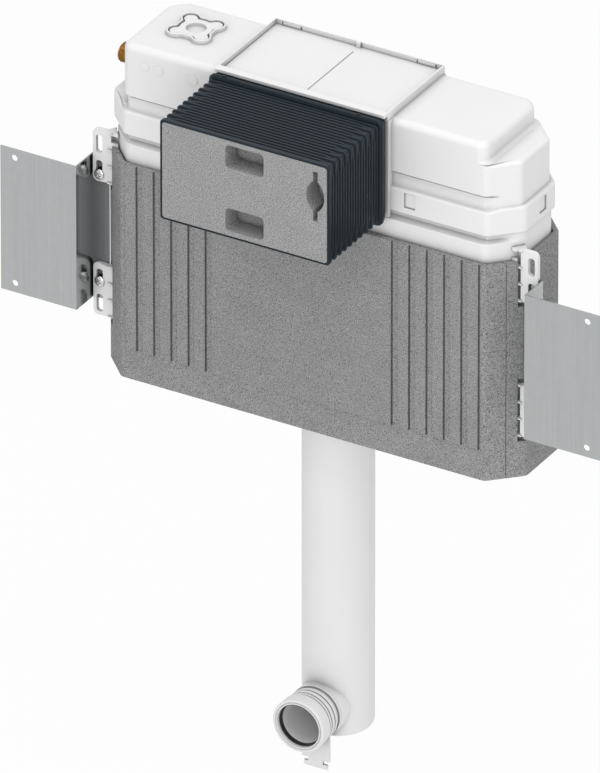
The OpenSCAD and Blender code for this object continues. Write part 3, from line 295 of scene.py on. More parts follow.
def loft(rings, closed=False):
    """Quads between rings of equal length, in mm, capped at both ends or joined last to first."""
    count = len(rings[0])
    verts = [p for ring in rings for p in ring]
    faces = []
    spans = len(rings) if closed else len(rings) - 1
    for i in range(spans):
        a, b = i * count, ((i + 1) % len(rings)) * count
        for j in range(count):
            k = (j + 1) % count
            faces.append((a + j, a + k, b + k, b + j))
    if not closed:
        faces.append(tuple(range(count))[::-1])
        faces.append(tuple(range(len(verts) - count, len(verts))))
    return verts, faces


def bake_modifiers(obj):
    """Replaces obj's mesh by what its modifiers make of it."""
    graph = bpy.context.evaluated_depsgraph_get()
    graph.update()
    made = bpy.data.meshes.new_from_object(obj.evaluated_get(graph))
    obj.modifiers.clear()
    obj.data = made


def combine(obj, other, operation):
    """Boolean of obj with other, which is then deleted."""
    mod = obj.modifiers.new("boolean", "BOOLEAN")
    mod.operation = operation
    mod.solver = "EXACT"
    mod.object = other
    bake_modifiers(obj)
    bpy.data.objects.remove(other)


def bevelled(obj, width, segments=2, angle=30.0):
    """Rounds obj's edges by width in mm."""
    mod = obj.modifiers.new("bevel", "BEVEL")
    mod.width = width * MM
    mod.segments = segments
    mod.limit_method = "ANGLE"
    mod.angle_limit = math.radians(angle)
    mod.use_clamp_overlap = True
    mod.miter_outer = "MITER_ARC"
    bake_modifiers(obj)


def smoothed(obj, angle=38.0):
    """Smooth shading that keeps flat faces flat and edges sharper than angle crisp."""
    mesh = obj.data
    mesh.polygons.foreach_set("use_smooth", [True] * len(mesh.polygons))
    mesh.set_sharp_from_angle(angle=math.radians(angle))
    mod = obj.modifiers.new("normals", "WEIGHTED_NORMAL")
    mod.keep_sharp = True
    mod.weight = 80
    bake_modifiers(obj)


def finish_piece(obj, node):
    """Gives obj the node's material and body, and lets it stand for the node."""
    slot = slot_of_node[node]
    obj.name = node + "_skin"
    obj.data.materials.clear()
    obj.data.materials.append(MATERIALS[slot])
    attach(obj, body_of_node[node])
    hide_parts(node)


def clean_copy(node):
    """The node's own mesh, welded and with flat faces merged, as a new object."""
    mesh = nodes[node].data.copy()
    bm = bmesh.new()
    bm.from_mesh(mesh)
    bmesh.ops.remove_doubles(bm, verts=bm.verts, dist=2e-6)
    bmesh.ops.dissolve_limit(bm, angle_limit=math.radians(0.4), verts=bm.verts, edges=bm.edges)
    bm.to_mesh(mesh)
    bm.free()
    for name in [a.name for a in mesh.attributes if a.name == "custom_normal"]:
        mesh.attributes.remove(mesh.attributes[name])
    return add_object(node + "_skin", mesh)


def refined(node, width, segments):
    """The node's shape with rounded edges."""
    obj = clean_copy(node)
    bevelled(obj, width, segments)
    smoothed(obj)
    finish_piece(obj, node)


def box_object(lo, hi):
    """Block between two corners in mm, for cuts and small parts."""
    bm = bmesh.new()
    bmesh.ops.create_cube(bm, size=1.0)
    lo, hi = Vector(lo) * MM, Vector(hi) * MM
    for v in bm.verts:
        v.co = Vector(((lo[i] + hi[i]) / 2 + v.co[i] * (hi[i] - lo[i])) for i in range(3))
    mesh = bpy.data.meshes.new("box")
    bm.to_mesh(mesh)
    bm.free()
    return add_object("box", mesh)


def object_from(name, verts_faces):
    """Object of a pair (verts in mm, faces), as loft and lathe give it."""
    return add_object(name, mesh_from(name, *verts_faces))


def circle(radius, count, a0=0.0, b0=0.0):
    """count points (a, b) on a circle round (a0, b0)."""
    turns = [2 * math.pi * i / count for i in range(count)]
    return [(a0 + radius * math.cos(t), b0 + radius * math.sin(t)) for t in turns]


def unit(degrees):
    """Direction in the plane, from the first axis towards the second."""
    a = math.radians(degrees)
    return Vector((math.cos(a), math.sin(a)))


def clamped(share):
    return min(1.0, max(0.0, share))


# Outlines: convex polygons with one radius for each corner


def inset_polygon(points, insets):
    """Each edge i, from point i to point i + 1, moved inwards by insets[i]. Points run anticlockwise."""
    n = len(points)
    lines = []
    for i in range(n):
        a, b = Vector(points[i]), Vector(points[(i + 1) % n])
        d = (b - a).normalized()
        inward = Vector((-d.y, d.x))
        lines.append((a + inward * insets[i], d))
    out = []
    for i in range(n):
        (p, d), (q, e) = lines[i - 1], lines[i]
        cross = d.x * e.y - d.y * e.x
        t = ((q.x - p.x) * e.y - (q.y - p.y) * e.x) / cross
        out.append(p + d * t)
    return out


def round_polygon(points, radii, steps=6):
    """Each corner as steps + 1 points on an arc of its radius."""
    n = len(points)
    out = []
    for i in range(n):
        p, a, b = points[i], points[i - 1], points[(i + 1) % n]
        u, v = (a - p).normalized(), (b - p).normalized()
        half = math.acos(max(-1.0, min(1.0, u.dot(v)))) / 2
        room = 0.499 * min((a - p).length, (b - p).length)
        cut = min(radii[i] / math.tan(half), room)
        radius = cut * math.tan(half)
        centre = p + (u + v).normalized() * (radius / math.sin(half))
        start, stop = p + u * cut - centre, p + v * cut - centre
        angle = math.atan2(start.x * stop.y - start.y * stop.x, start.dot(stop))
        for s in range(steps + 1):
            out.append(centre + Matrix.Rotation(angle * s / steps, 2) @ start)
    return out


class Plan:
    """Box outline with a chamfer and a radius at each corner, in the order front left, front right,
    rear right, rear left. Every edge holds EDGE_POINTS more points, so that rings can be bent along it."""

    EDGE_POINTS = 4

    def __init__(self, left, right, front, rear, chamfers, radii):
        fl, fr, rr, rl = chamfers
        self.points = [
            Vector(p)
            for p in [
                (left + fl, front), (right - fr, front), (right, front + fr), (right, rear - rr),
                (right - rr, rear), (left + rl, rear), (left, rear - rl), (left, front + fl),
            ]
        ]
        radius_fl, radius_fr, radius_rr, radius_rl = radii
        self.radii = [radius_fl, radius_fr, radius_fr, radius_rr, radius_rr, radius_rl, radius_rl, radius_fl]

    def ring(self, z, inset=0.0, insets=None):
        """Points at height z, with every edge inset, or each of the 8 by insets."""
        moves = insets or [inset] * 8
        grow = max(moves) if insets is None else 0.0
        radii = [max(r - grow, 0.3) for r in self.radii]
        flat = round_polygon(inset_polygon(self.points, moves), radii)
        per_corner = len(flat) // len(self.points)
        ring = []
        for i, p in enumerate(flat):
            ring.append((p.x, p.y, z))
            if i % per_corner == per_corner - 1:
                ahead = flat[(i + 1) % len(flat)]
                for k in range(1, self.EDGE_POINTS + 1):
                    q = p.lerp(ahead, k / (self.EDGE_POINTS + 1))
                    ring.append((q.x, q.y, z))
        return ring


def fillet(count):
    """Pairs (sine, 1 - cosine) from 0 to 90 degrees in count steps."""
    for i in range(count + 1):
        a = math.radians(90.0 * i / count)
        yield math.sin(a), 1.0 - math.cos(a)


# White tank

BELT_BOTTOM, BELT_TOP = 128.5, 157.0
HOOD_TOP = 231.0
LEDGE = 208.0
STEP = 172.6
FRONT_DROP, LEFT_RISE = 2.5, 1.2
SHOULDER = 118.4
CASE_BOTTOM, TANK_BOTTOM = -147.5, -142.1
BLOCK_HALF, BLOCK_FRONT, BLOCK_REAR, BLOCK_BOTTOM = 98.6, 6.5, 120.4, 122.0
RIM_HALF = BLOCK_HALF - 1
RIM_TOP, RIM_WALL = 240.3, 1.6
RIM_NOSE, RIM_NOSE_Z = -0.3, 236.4
LID_Z, LID_TOP = 231.9, 234.9
PORT = (-161.0, 71.7)
CATCH_X, CATCH_HALF = 77.5, 10.9
FRONT_LATCH_X, SIDE_LATCH_X = 120.5, 237.5
LATCH_LOW, LATCH_HIGH = 135.5, 152.5
HOOD_WALL, RECESSED_WALL = 3.0, 6.2
LID_OPENING = (88.1, 16.0, 110.9)
INLET_Y, INLET_Z, INLET_R = 55.0, 194.0, 10.48
HOOD_LEFT, HOOD_FRONT, HOOD_REAR = -213.5, 12.8, 122.0


def case_plan(radius):
    return Plan(-241.2, 241.2, 5.5, 130.5, (31,) * 4, (radius,) * 4)


def belt_plan():
    return Plan(-238.4, 237.5, 10.9, 127.5, (29.4, 29, 29, 29), (9,) * 4)


def body_plan():
    return Plan(HOOD_LEFT, 233.0, HOOD_FRONT, HOOD_REAR, (6.4, 27, 27, 16), (11, 9, 9, 11))


def plateau_plan():
    return Plan(HOOD_LEFT, 206.0, HOOD_FRONT, HOOD_REAR, (6.4, 6.4, 10, 16), (11, 11, 15, 11))


def front_share(x, y):
    """1 along the front, 0 behind the left corner and from the middle of the right chamfer on."""
    fade_end = 22.5 if x > 0 else 27.0
    return clamped((fade_end - y) / 7.0)


def faded_step(z, out, drop=0.0):
    """Body outline grown by out and lowered by drop at the front only, which fades round the corners."""
    base = body_plan().ring(z)
    grown = body_plan().ring(z, -out)
    ring = []
    for (x, y, _), (gx, gy, _) in zip(base, grown):
        fade = front_share(x, y)
        ring.append((x + (gx - x) * fade, y + (gy - y) * fade, z - drop * fade))
    return ring


def belt_top_ring(plan, z, inset=0.0):
    """Ring of the belt's top edge, which runs lower along the front and higher on the left."""
    ring = []
    for x, y, zz in plan.ring(z, inset):
        share = front_share(x, y)
        ring.append((x, y, zz - FRONT_DROP * share + (LEFT_RISE * (1 - share) if x < 0 else 0.0)))
    return ring


def hood_shell():
    """Belt, shelf, step, ledge and plateau as one lofted skin."""
    belt, body, plateau = belt_plan(), body_plan(), plateau_plan()
    edge, lip, lip_in, top_edge, ledge_edge, ledge_root = 1.3, 3.0, 1.6, 7.5, 4.5, 4.0
    recess, groove = 3.2, 4.7
    rings = [belt.ring(BELT_BOTTOM + edge * c, edge * (1 - s)) for s, c in fillet(4)]
    for s, c in fillet(5):
        rings.append(belt_top_ring(belt, BELT_TOP + 0.6 - lip * (1 - s), lip_in * c))
    foot = Plan(-216.5, 235.2, 12.75, 125.0, (7, 28, 28, 17), (11, 9, 9, 11))
    rings.append(belt_top_ring(foot, BELT_TOP + 0.9))
    for up, back in ((1.3, 2.4), (1.7, 2.9), (2.6, recess), (4.4, recess)):
        rings.append(faded_step(BELT_TOP + up, -back, FRONT_DROP))
    for z, back in ((BELT_TOP + 7.0, recess), (STEP - 2.9, recess), (STEP - 2.7, groove), (STEP - 0.5, groove),
                    (STEP - 0.4, 0.3), (STEP, 0.0)):
        rings.append(faded_step(z, -back))
    for s, c in fillet(5):
        side = ledge_edge * c
        insets = [0, side, side, side, 0, 0, 0, 0]
        rings.append(body.ring(LEDGE - ledge_edge * (1 - s), insets=insets))
    for s, c in fillet(5):
        out = -ledge_root * (1 - s)
        insets = [0, out, out, out, 0, 0, 0, 0]
        rings.append(plateau.ring(LEDGE + ledge_root * c + 0.02, insets=insets))
    for s, c in fillet(7):
        rings.append(plateau.ring(HOOD_TOP - top_edge * (1 - s), top_edge * c))
    return object_from("tank_hood", loft(rings))


def lobe_ring(z, grow=0.0, disc=18.6, out=20.5, lobe=8.5):
    """Outline of the lobed port: a disc with a round lobe on each diagonal, out from the middle."""
    disc, lobe = disc + grow, lobe + grow
    meet = math.acos((disc * disc + out * out - lobe * lobe) / (2 * disc * out))
    sweep = math.atan2(disc * math.sin(meet), disc * math.cos(meet) - out)
    ring = []
    for q in range(4):
        turn = math.radians(45 + 90 * q)
        cx, cy = PORT[0] + out * math.cos(turn), PORT[1] + out * math.sin(turn)
        for i in range(21):
            a = turn - sweep + 2 * sweep * i / 20
            ring.append((cx + lobe * math.cos(a), cy + lobe * math.sin(a), z))
        for i in range(1, 8):
            a = turn + meet + (math.pi / 2 - 2 * meet) * i / 8
            ring.append((PORT[0] + disc * math.cos(a), PORT[1] + disc * math.sin(a), z))
    for _ in range(3):
        ring = [tuple((a + 2 * b + c) / 4 for a, b, c in zip(ring[i - 1], ring[i], ring[(i + 1) % len(ring)]))
                for i in range(len(ring))]
    return ring


def prism(plan, z0, z1, inset=0.0):
    """Upright block of the plan's outline."""
    return object_from("prism", loft([plan.ring(z0, inset), plan.ring(z1, inset)]))


def disc_x(radius, x0, x1, y, z, count=48):
    """Disc along X."""
    return object_from("disc", loft([[(x, *p) for p in circle(radius, count, y, z)] for x in (x0, x1)]))


def disc_y(radius, y0, y1, x, z, count=48):
    """Disc along Y with a small chamfer at y0."""
    rings = []
    for y, r in ((y0, radius - 0.35), (y0 + 0.3, radius), (y1, radius)):
        rings.append([(px, y, pz) for px, pz in circle(r, count, x, z)])
    return object_from("disc", loft(rings))


def make_hood():
    """Upper tank: skin, centre block, raised lid frame, windows, port rim and the round marks in front."""
    hood = hood_shell()
    block = box_object((-BLOCK_HALF, BLOCK_FRONT, BELT_BOTTOM - 0.02), (BLOCK_HALF, BLOCK_REAR, HOOD_TOP))
    apron = box_object((-BLOCK_HALF, BLOCK_FRONT, BLOCK_BOTTOM), (BLOCK_HALF, 10.6, BELT_BOTTOM + 4))
    collar = box_object((-RIM_HALF, BLOCK_FRONT, HOOD_TOP - 5), (RIM_HALF, BLOCK_REAR, RIM_TOP))
    nose = box_object((-RIM_HALF, RIM_NOSE, RIM_NOSE_Z), (RIM_HALF, BLOCK_FRONT + 0.5, RIM_TOP))
    combine(collar, nose, "UNION")
    bevelled(collar, 0.5)
    for part in (apron, collar):
        combine(block, part, "UNION")
    combine(hood, block, "UNION")
    lid_half, rim_rear = RIM_HALF - RIM_WALL, BLOCK_REAR - RIM_WALL
    cavities = [
        prism(belt_plan(), BELT_BOTTOM - 14, BELT_TOP - 4, RECESSED_WALL),
        prism(belt_plan(), BELT_BOTTOM - 1, BELT_TOP + 1, 10.5),
        prism(body_plan(), BELT_TOP, LEDGE - HOOD_WALL, RECESSED_WALL),
        prism(body_plan(), STEP + 2.5, LEDGE - HOOD_WALL, HOOD_WALL),
        prism(plateau_plan(), STEP + 2.5, HOOD_TOP - HOOD_WALL, HOOD_WALL),
        box_object((-BLOCK_HALF + 3, BLOCK_FRONT + 3, BELT_TOP), (BLOCK_HALF - 3, BLOCK_REAR - 3, LID_Z - 3)),
        box_object((-lid_half, BLOCK_FRONT + RIM_WALL, LID_Z), (lid_half, rim_rear, RIM_TOP + 1)),
        box_object((-LID_OPENING[0], LID_OPENING[1], LID_Z - 5), (LID_OPENING[0], LID_OPENING[2], LID_Z + 1)),
        box_object((-91, BLOCK_FRONT - 1, BELT_TOP + 2), (91, BLOCK_FRONT + 7, 226.9)),
        disc_x(INLET_R + 0.25, HOOD_LEFT - 2, HOOD_LEFT + 5, INLET_Y, INLET_Z),
        object_from("port", loft([lobe_ring(HOOD_TOP - 5, -2.2), lobe_ring(HOOD_TOP + 1, -2.2)])),
        box_object((2.6, rim_rear - 0.2, LID_TOP), (3.3, BLOCK_REAR - 0.9, RIM_TOP - 1.0)),
    ]
    for side in (-1, 1):
        x = side * FRONT_LATCH_X
        cavities.append(box_object((x - 6.35, 5, LATCH_LOW), (x + 6.35, 12.4, LATCH_HIGH)))
        x = side * SIDE_LATCH_X
        cavities.append(box_object((x - 1.6, 67.2, LATCH_LOW), (x + 1.6, 80.0, LATCH_HIGH)))
        for x in (side * CATCH_X - CATCH_HALF, side * CATCH_X + CATCH_HALF):
            cavities.append(box_object((x - 0.7, rim_rear - 0.2, LID_TOP - 1),
                                       (x + 0.7, BLOCK_REAR - 0.4, RIM_TOP - 1.2)))
    for cavity in cavities:
        combine(hood, cavity, "DIFFERENCE")
    rim = []
    for grow, z in ((2.0, HOOD_TOP - 1), (2.0, HOOD_TOP + 3.8), (1.7, HOOD_TOP + 4.4), (1.0, HOOD_TOP + 4.6),
                    (0.4, HOOD_TOP + 4.4), (0.1, HOOD_TOP + 3.8), (0.1, HOOD_TOP - 1)):
        rim.append(lobe_ring(z, grow))
    combine(hood, object_from("rim", loft(rim, closed=True)), "UNION")
    for x in (-186, -170, -130, -117):
        combine(hood, disc_y(5.25, HOOD_FRONT - 0.5, HOOD_FRONT + 1, x, 210.5), "UNION")
    smoothed(hood, 32.0)
    finish_piece(hood, "tank_hood")
    latch_plates()


def latch_plates():
    """Latch tongues in the belt's windows and on the lid frame's rear wall."""
    made = []
    for side in (-1, 1):
        x = side * FRONT_LATCH_X
        ends = sorted((x - side * 4.9, x + side * 6.3))
        made.append(box_object((ends[0], 11.7, LATCH_LOW + 1.3), (ends[1], 13.2, LATCH_HIGH - 0.3)))
        x = side * (SIDE_LATCH_X - 1.7)
        made.append(box_object((x - 0.9, 67.3, LATCH_LOW + 1.9), (x + 0.9, 77.9, LATCH_HIGH - 0.2)))
        x = side * CATCH_X
        y = BLOCK_REAR - RIM_WALL
        made.append(box_object((x - CATCH_HALF + 1.1, y - 0.7, LID_TOP + 1.2),
                               (x + CATCH_HALF - 1.1, y + 0.5, RIM_TOP - 1.6)))
    for i, plate in enumerate(made):
        bevelled(plate, 0.3)
        smoothed(plate)
        plate.name = f"latch_tongue_{i + 1}"
        plate.data.materials.append(MATERIALS["tank_white"])
        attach(plate, "cistern")


def make_lid():
    """Lid plate with its groove and the catch in the middle of its rear edge."""
    play = 0.35
    half = RIM_HALF - RIM_WALL - play
    front, rear = BLOCK_FRONT + RIM_WALL + play, BLOCK_REAR - RIM_WALL - play
    lid = box_object((-half, front, LID_Z), (half, rear, LID_TOP))
    bevelled(lid, 0.4)
    skirt = box_object((-86, front + 9, LID_Z - 2.5), (86, rear - 9, LID_Z + 0.5))
    combine(lid, skirt, "UNION")
    combine(lid, box_object((-83, front + 12, LID_Z - 3), (83, rear - 12, LID_Z)), "DIFFERENCE")
    combine(lid, box_object((-0.8, front + 8, LID_TOP - 0.8), (0.8, rear - 12, LID_TOP + 1)), "DIFFERENCE")
    catch = box_object((-2.4, rear - 2.4, LID_TOP - 0.5), (2.4, rear, RIM_TOP + 0.7))
    bevelled(catch, 0.5)
    combine(lid, catch, "UNION")
    smoothed(lid, 32.0)
    finish_piece(lid, "service_lid")


def neck_ring(case, insets, z):
    """Neck outline at height z, which runs out into the tank's own outline towards the right side."""
    ring = []
    for (x, y, _), (wide_x, wide_y, _) in zip(belt_plan().ring(z, 6.5), case.ring(z, insets=insets)):
        share = clamped((y - 26.0) / 14.0) if x > 0 and y < 100 else 0.0
        ring.append((x + (wide_x - x) * share, y + (wide_y - y) * share, z))
    return ring


def make_lower_tank():
    """Tank body: straight walls, a round shoulder and the neck that the hood sits over."""
    case = case_plan(14)
    wall, foot, r = 3.0, 4.0, 1.3
    insets = [5.9, 6.7, 5.8, 6.8, 6.5, 7.0, 6.8, 7.0]
    rings = []
    for s, c in fillet(3):
        rings.append(case.ring(TANK_BOTTOM + foot * c, insets=[i + foot * (1 - s) for i in insets]))
    for s, c in fillet(4):
        rounded = [i + r * c for i in insets]
        rounded[1:4] = insets[1:4]
        rings.append(case.ring(SHOULDER - r * (1 - s), insets=rounded))
    rings.append(neck_ring(case, insets, SHOULDER + 3.0))
    rings.append(neck_ring(case, insets, 149.7))
    tank = object_from("lower_tank", loft(rings))
    combine(tank, prism(case, TANK_BOTTOM + wall, SHOULDER - wall, insets[2] + wall), "DIFFERENCE")
    combine(tank, prism(belt_plan(), TANK_BOTTOM + wall + 0.1, 151, 9.5), "DIFFERENCE")
    hole = object_from("hole", loft([[(*p, z) for p in circle(22.3, 48, 0.0, PIPE_Y)] for z in (-145, -135)]))
    combine(tank, hole, "DIFFERENCE")
    smoothed(tank, 32.0)
    finish_piece(tank, "lower_tank")


def make_port_cap():
    """Lobed cap with a round dish, a hair below its rim."""
    top = HOOD_TOP + 3.1
    rings = [lobe_ring(HOOD_TOP - 5.5, -2.7), lobe_ring(HOOD_TOP + 0.3, -2.7), lobe_ring(HOOD_TOP + 0.31, -1.2),
             lobe_ring(top - 0.5, -1.2), lobe_ring(top - 0.1, -1.5), lobe_ring(top, -1.9)]
    cap = object_from("port_cap", loft(rings))
    profile = ((9.6, top - 3.6), (10.1, top - 3.3), (10.3, top - 2.6), (10.4, top - 0.4), (10.8, top + 0.4))
    dish = [[(*p, z) for p in circle(r, 64, *PORT)] for r, z in profile]
    combine(cap, object_from("dish", loft(dish)), "DIFFERENCE")
    smoothed(cap, 35.0)
    finish_piece(cap, "port_cap")


# Service shaft

SHAFT_Z = 177.65
SHAFT_HX, SHAFT_HZ = 97.1, 56.35
SHAFT_FRONT, SHAFT_BACK = -108.2, 6.5
SLEEVE_RIB, SLEEVE_PITCH, SLEEVE_RIBS = 1.4, 5.1, 18
SLEEVE_BORE, PLUG_SEAT = -4.1, -2.1
COLLAR_FRONT, COLLAR_OUT = -8.4, 3.5


def frame_ring(y, grow_x, grow_z, radius, rib=None):
    """Rounded rectangle at depth y, grown from the shaft's. rib(distance from the corner) grows the flats."""
    marks = (2.0, 7.0, 12.0, 17.0)
    flat = rib or (lambda mark: 0.0)
    hx, hz = SHAFT_HX + grow_x, SHAFT_HZ + grow_z
    ring = []
    for quarter, (sx, sz) in enumerate(((1, 1), (-1, 1), (-1, -1), (1, -1))):
        centre = Vector((sx * (hx - radius), sz * (hz - radius)))
        first, last = unit(90 * quarter), unit(90 * quarter + 90)
        ring += [centre + first * (radius + flat(m)) - last * m for m in reversed(marks)]
        ring += [centre + unit(90 * quarter + a) * radius for a in range(0, 91, 18)]
        ring += [centre + last * (radius + flat(m)) - first * m for m in marks]
    return [(p.x, y, SHAFT_Z + p.y) for p in ring]


def fading_rib(height):
    """Height of a rib that dies out before the corners, by the distance from the corner."""
    return lambda mark: height * clamped((mark - 5.0) / 7.0)


def make_sleeve():
    """Ribbed sleeve: every second rib runs round the corners, the ones between die out before them."""
    radius = 3.4
    rings = []
    for y, grow in ((0.0, -0.7), (0.25, -0.2), (0.8, 0.0), (5.2, 0.0), (5.8, -0.25), (6.2, -1.6),
                    (6.5, -SLEEVE_RIB)):
        rings.append(frame_ring(SHAFT_FRONT + y, grow, grow, radius + min(grow, 0)))
    first = SHAFT_FRONT + 9.2 - SLEEVE_PITCH / 2
    profile = ((0.0, 0.0), (0.22, 0.0), (0.3, 0.8), (0.38, 1.0), (0.72, 1.0), (0.8, 0.8), (0.88, 0.0))
    for i in range(SLEEVE_RIBS):
        for along, height in profile:
            y = first + (i + along) * SLEEVE_PITCH
            if i % 2 == 1:
                grow = SLEEVE_RIB * (height - 1)
                rings.append(frame_ring(y, grow, grow, radius + grow * 0.6))
            else:
                rings.append(frame_ring(y, -SLEEVE_RIB, -SLEEVE_RIB, radius - SLEEVE_RIB * 0.6,
                                        fading_rib(SLEEVE_RIB * height)))
    collar = ((-1.2, -2.0, -2.0, 4), (0.0, 1.2, 2.0, 5), (0.4, 2.2, 3.0, 6), (1.2, 2.7, COLLAR_OUT, 6.5),
              (4.0, 2.7, COLLAR_OUT, 6.5), (4.5, 2.3, 3.1, 6), (4.7, 1.0, 2.0, 5), (9.0, 1.0, 2.0, 5),
              (9.4, 0.6, 1.6, 5), (9.5, -2.0, -2.0, 4), (14.8, -2.0, -2.0, 4))
    for y, out_x, out_z, r in collar:
        rings.append(frame_ring(COLLAR_FRONT + y, out_x, out_z, r))
    for y, grow, r in ((SHAFT_BACK - 0.1, SLEEVE_BORE, 3.0), (SHAFT_FRONT + 4.3, SLEEVE_BORE, 3.0),
                       (SHAFT_FRONT + 4.2, PLUG_SEAT, 3.5), (SHAFT_FRONT + 0.6, PLUG_SEAT, 3.5),
                       (SHAFT_FRONT + 0.1, PLUG_SEAT + 0.3, 3.8)):
        rings.append(frame_ring(y, grow, grow, r))
    sleeve = object_from("shaft_sleeve", loft(rings, closed=True))
    top = SHAFT_Z + SHAFT_HZ + COLLAR_OUT
    for x in (-83.0, 71.5):
        nub = box_object((x - 1.6, COLLAR_FRONT + 1.4, top - 1.5), (x + 1.6, COLLAR_FRONT + 3.8, top + 0.8))
        combine(sleeve, nub, "UNION")
    smoothed(sleeve, 50.0)
    finish_piece(sleeve, "shaft_sleeve")


# Round pieces


def lathe(profile, axis, origin, count=72, closed=True):
    """Profile of (along, radius) pairs turned round an axis, 'y' or 'z', through origin. In mm."""
    rings = []
    for along, radius in profile:
        ring = []
        for c, s in circle(radius, count):
            p = (s, along, c) if axis == "y" else (c, s, along)
            ring.append(tuple(p[k] + origin[k] for k in range(3)))
        rings.append(ring)
    return loft(rings, closed=closed)


PIPE_Y, PIPE_R, PIPE_BOTTOM, PIPE_TOP = 78.0, 37.0, -521.0, -142.4
PIPE_BORE, CUP_BORE, CUP_BOTTOM = 25.0, 34.0, -172.1
OUTLET_Z, OUTLET_FRONT = -488.6, -3.0
SADDLE_FRONT, SADDLE_R = 35.6, 28.5
OUTLET_BORE, OUTLET_TAIL, GROOVE_R, RIB_R = 22.75, 24.7, 26.8, 28.4


def make_pipe():
    """Flush pipe with its round foot, the saddle of the outlet and the cup of the pipe seal."""
    edge = 5.0
    foot = [(PIPE_BOTTOM + edge * (1 - math.cos(a)), PIPE_R - edge * (1 - math.sin(a)))
            for a in [math.radians(15 * i) for i in range(7)]]
    outside = [(PIPE_BOTTOM, 0.5)] + foot + [(PIPE_TOP, PIPE_R), (PIPE_TOP, 0.5)]
    pipe = object_from("flush_pipe", lathe(outside, "z", (0, PIPE_Y, 0), closed=False))
    saddle = [(SADDLE_FRONT, 1.0), (SADDLE_FRONT, SADDLE_R - 0.4), (SADDLE_FRONT + 0.4, SADDLE_R),
              (PIPE_Y, SADDLE_R), (PIPE_Y, 1.0)]
    combine(pipe, object_from("saddle", lathe(saddle, "y", (0, 0, OUTLET_Z), closed=False)), "UNION")
    bevelled(pipe, 0.8, 3, 24.0)
    bores = [
        (OUTLET_Z, PIPE_TOP + 1, PIPE_BORE, "z", (0, PIPE_Y, 0)),
        (CUP_BOTTOM, PIPE_TOP + 1, CUP_BORE, "z", (0, PIPE_Y, 0)),
        (SADDLE_FRONT - 1.6, 39.5, GROOVE_R + 0.4, "y", (0, 0, OUTLET_Z)),
        (37.0, PIPE_Y, PIPE_BORE, "y", (0, 0, OUTLET_Z)),
    ]
    for start, stop, radius, axis, origin in bores:
        bore = lathe([(start, radius), (stop, radius)], axis, origin, closed=False)
        combine(pipe, object_from("bore", bore), "DIFFERENCE")
    smoothed(pipe, 32.0)
    finish_piece(pipe, "flush_pipe")


def make_outlet():
    """Outlet collar with its front lip, ribs, the clip's groove and the step that holds the seal."""
    profile = [(0.8, 24.2), (0.2, 24.5), (0.0, 25.0), (0.3, 25.6), (0.9, 26.0), (0.9, 26.4), (0.3, 27.0),
               (0.0, 27.8), (0.2, 28.7), (0.9, 29.4), (1.8, 29.6), (14.0, 29.5), (14.9, 29.1), (15.4, 28.3),
               (15.5, GROOVE_R)]
    for y0, y1 in ((16.5, 19.9), (20.9, 25.8), (27.0, 31.1)):
        profile += [(y0, GROOVE_R), (y0 + 0.1, RIB_R - 0.4), (y0 + 0.4, RIB_R), (y1 - 0.4, RIB_R),
                    (y1 - 0.1, RIB_R - 0.4), (y1, GROOVE_R)]
    profile += [(34.9, GROOVE_R), (35.0, 25.8), (38.4, 25.8), (38.5, GROOVE_R), (42.0, GROOVE_R),
                (42.1, OUTLET_TAIL), (56.0, OUTLET_TAIL), (56.0, OUTLET_BORE), (9.0, OUTLET_BORE), (9.0, 26.0),
                (4.5, 26.0), (4.5, 24.2)]
    outlet = object_from("outlet_socket", lathe(profile, "y", (0, OUTLET_FRONT, OUTLET_Z), 96))
    smoothed(outlet, 40.0)
    finish_piece(outlet, "outlet_socket")


def make_clip():
    """Clip plate with its ring drawn in to the outlet's groove."""
    ring, drawn_in, tab_half = 32.5, 0.88, 15.9
    clip = clean_copy("outlet_clip")
    for vert in clip.data.vertices:
        x, z = vert.co.x / MM, vert.co.z / MM - OUTLET_Z
        r = math.hypot(x, z)
        if z > -29.0 and abs(abs(x) - tab_half) < 0.3 and r > ring - 1.0:
            z = -math.sqrt((ring * drawn_in) ** 2 - x * x)
        elif 29.0 < r < ring + 0.5:
            x, z = x * drawn_in, z * drawn_in
        vert.co.x, vert.co.z = x * MM, (OUTLET_Z + z) * MM
    bevelled(clip, 0.3)
    smoothed(clip)
    finish_piece(clip, "outlet_clip")


def make_inlet():
    """Brass stub with its helical thread, cut inside the plain cylinder of the thread's size."""
    pitch, depth, count, per_turn = 1.814, 1.16, 64, 8
    inner_end, bore = -196.0, 6.5
    x_out, x_in = HOOD_LEFT - 23.4, HOOD_LEFT - 1.0
    steps = int((x_in - x_out) / pitch * per_turn)
    rings = []
    for i in range(steps + 1):
        x = x_out + (x_in - x_out) * i / steps
        chamfer = max(0.0, 1.3 - (x - x_out)) * 0.9
        ring = []
        for j, (c, s) in enumerate(circle(1.0, count)):
            phase = ((x - x_out) / pitch - j / count) % 1.0
            tooth = clamped((abs(phase - 0.5) * 2.0 - 0.12) / 0.76)
            r = INLET_R - depth * tooth - chamfer
            ring.append((x, INLET_Y + r * c, INLET_Z + r * s))
        rings.append(ring)
    for x, r in ((x_in + 0.2, INLET_R - 0.2), (inner_end, INLET_R - 0.2), (inner_end, bore), (x_out + 0.6, bore),
                 (x_out, bore + 0.5)):
        rings.append([(x, *p) for p in circle(r, count, INLET_Y, INLET_Z)])
    stub = object_from("inlet_stub", loft(rings, closed=True))
    smoothed(stub, 35.0)
    finish_piece(stub, "inlet_stub")


# Lugs and screws

LUG_RISE = {"upper_left": 0.8, "lower_left": 1.4, "upper_right": 0.4, "lower_right": 0.8}
LUG_MIDDLE_UPPER, LUG_MIDDLE_LOWER = 83.0, -71.3
LUG_X, LUG_FRONT, LUG_EDGE = 249.4, 30.0, 253.2
RIB_X, RIB_PITCH = (233.0, 237.1), 19.0


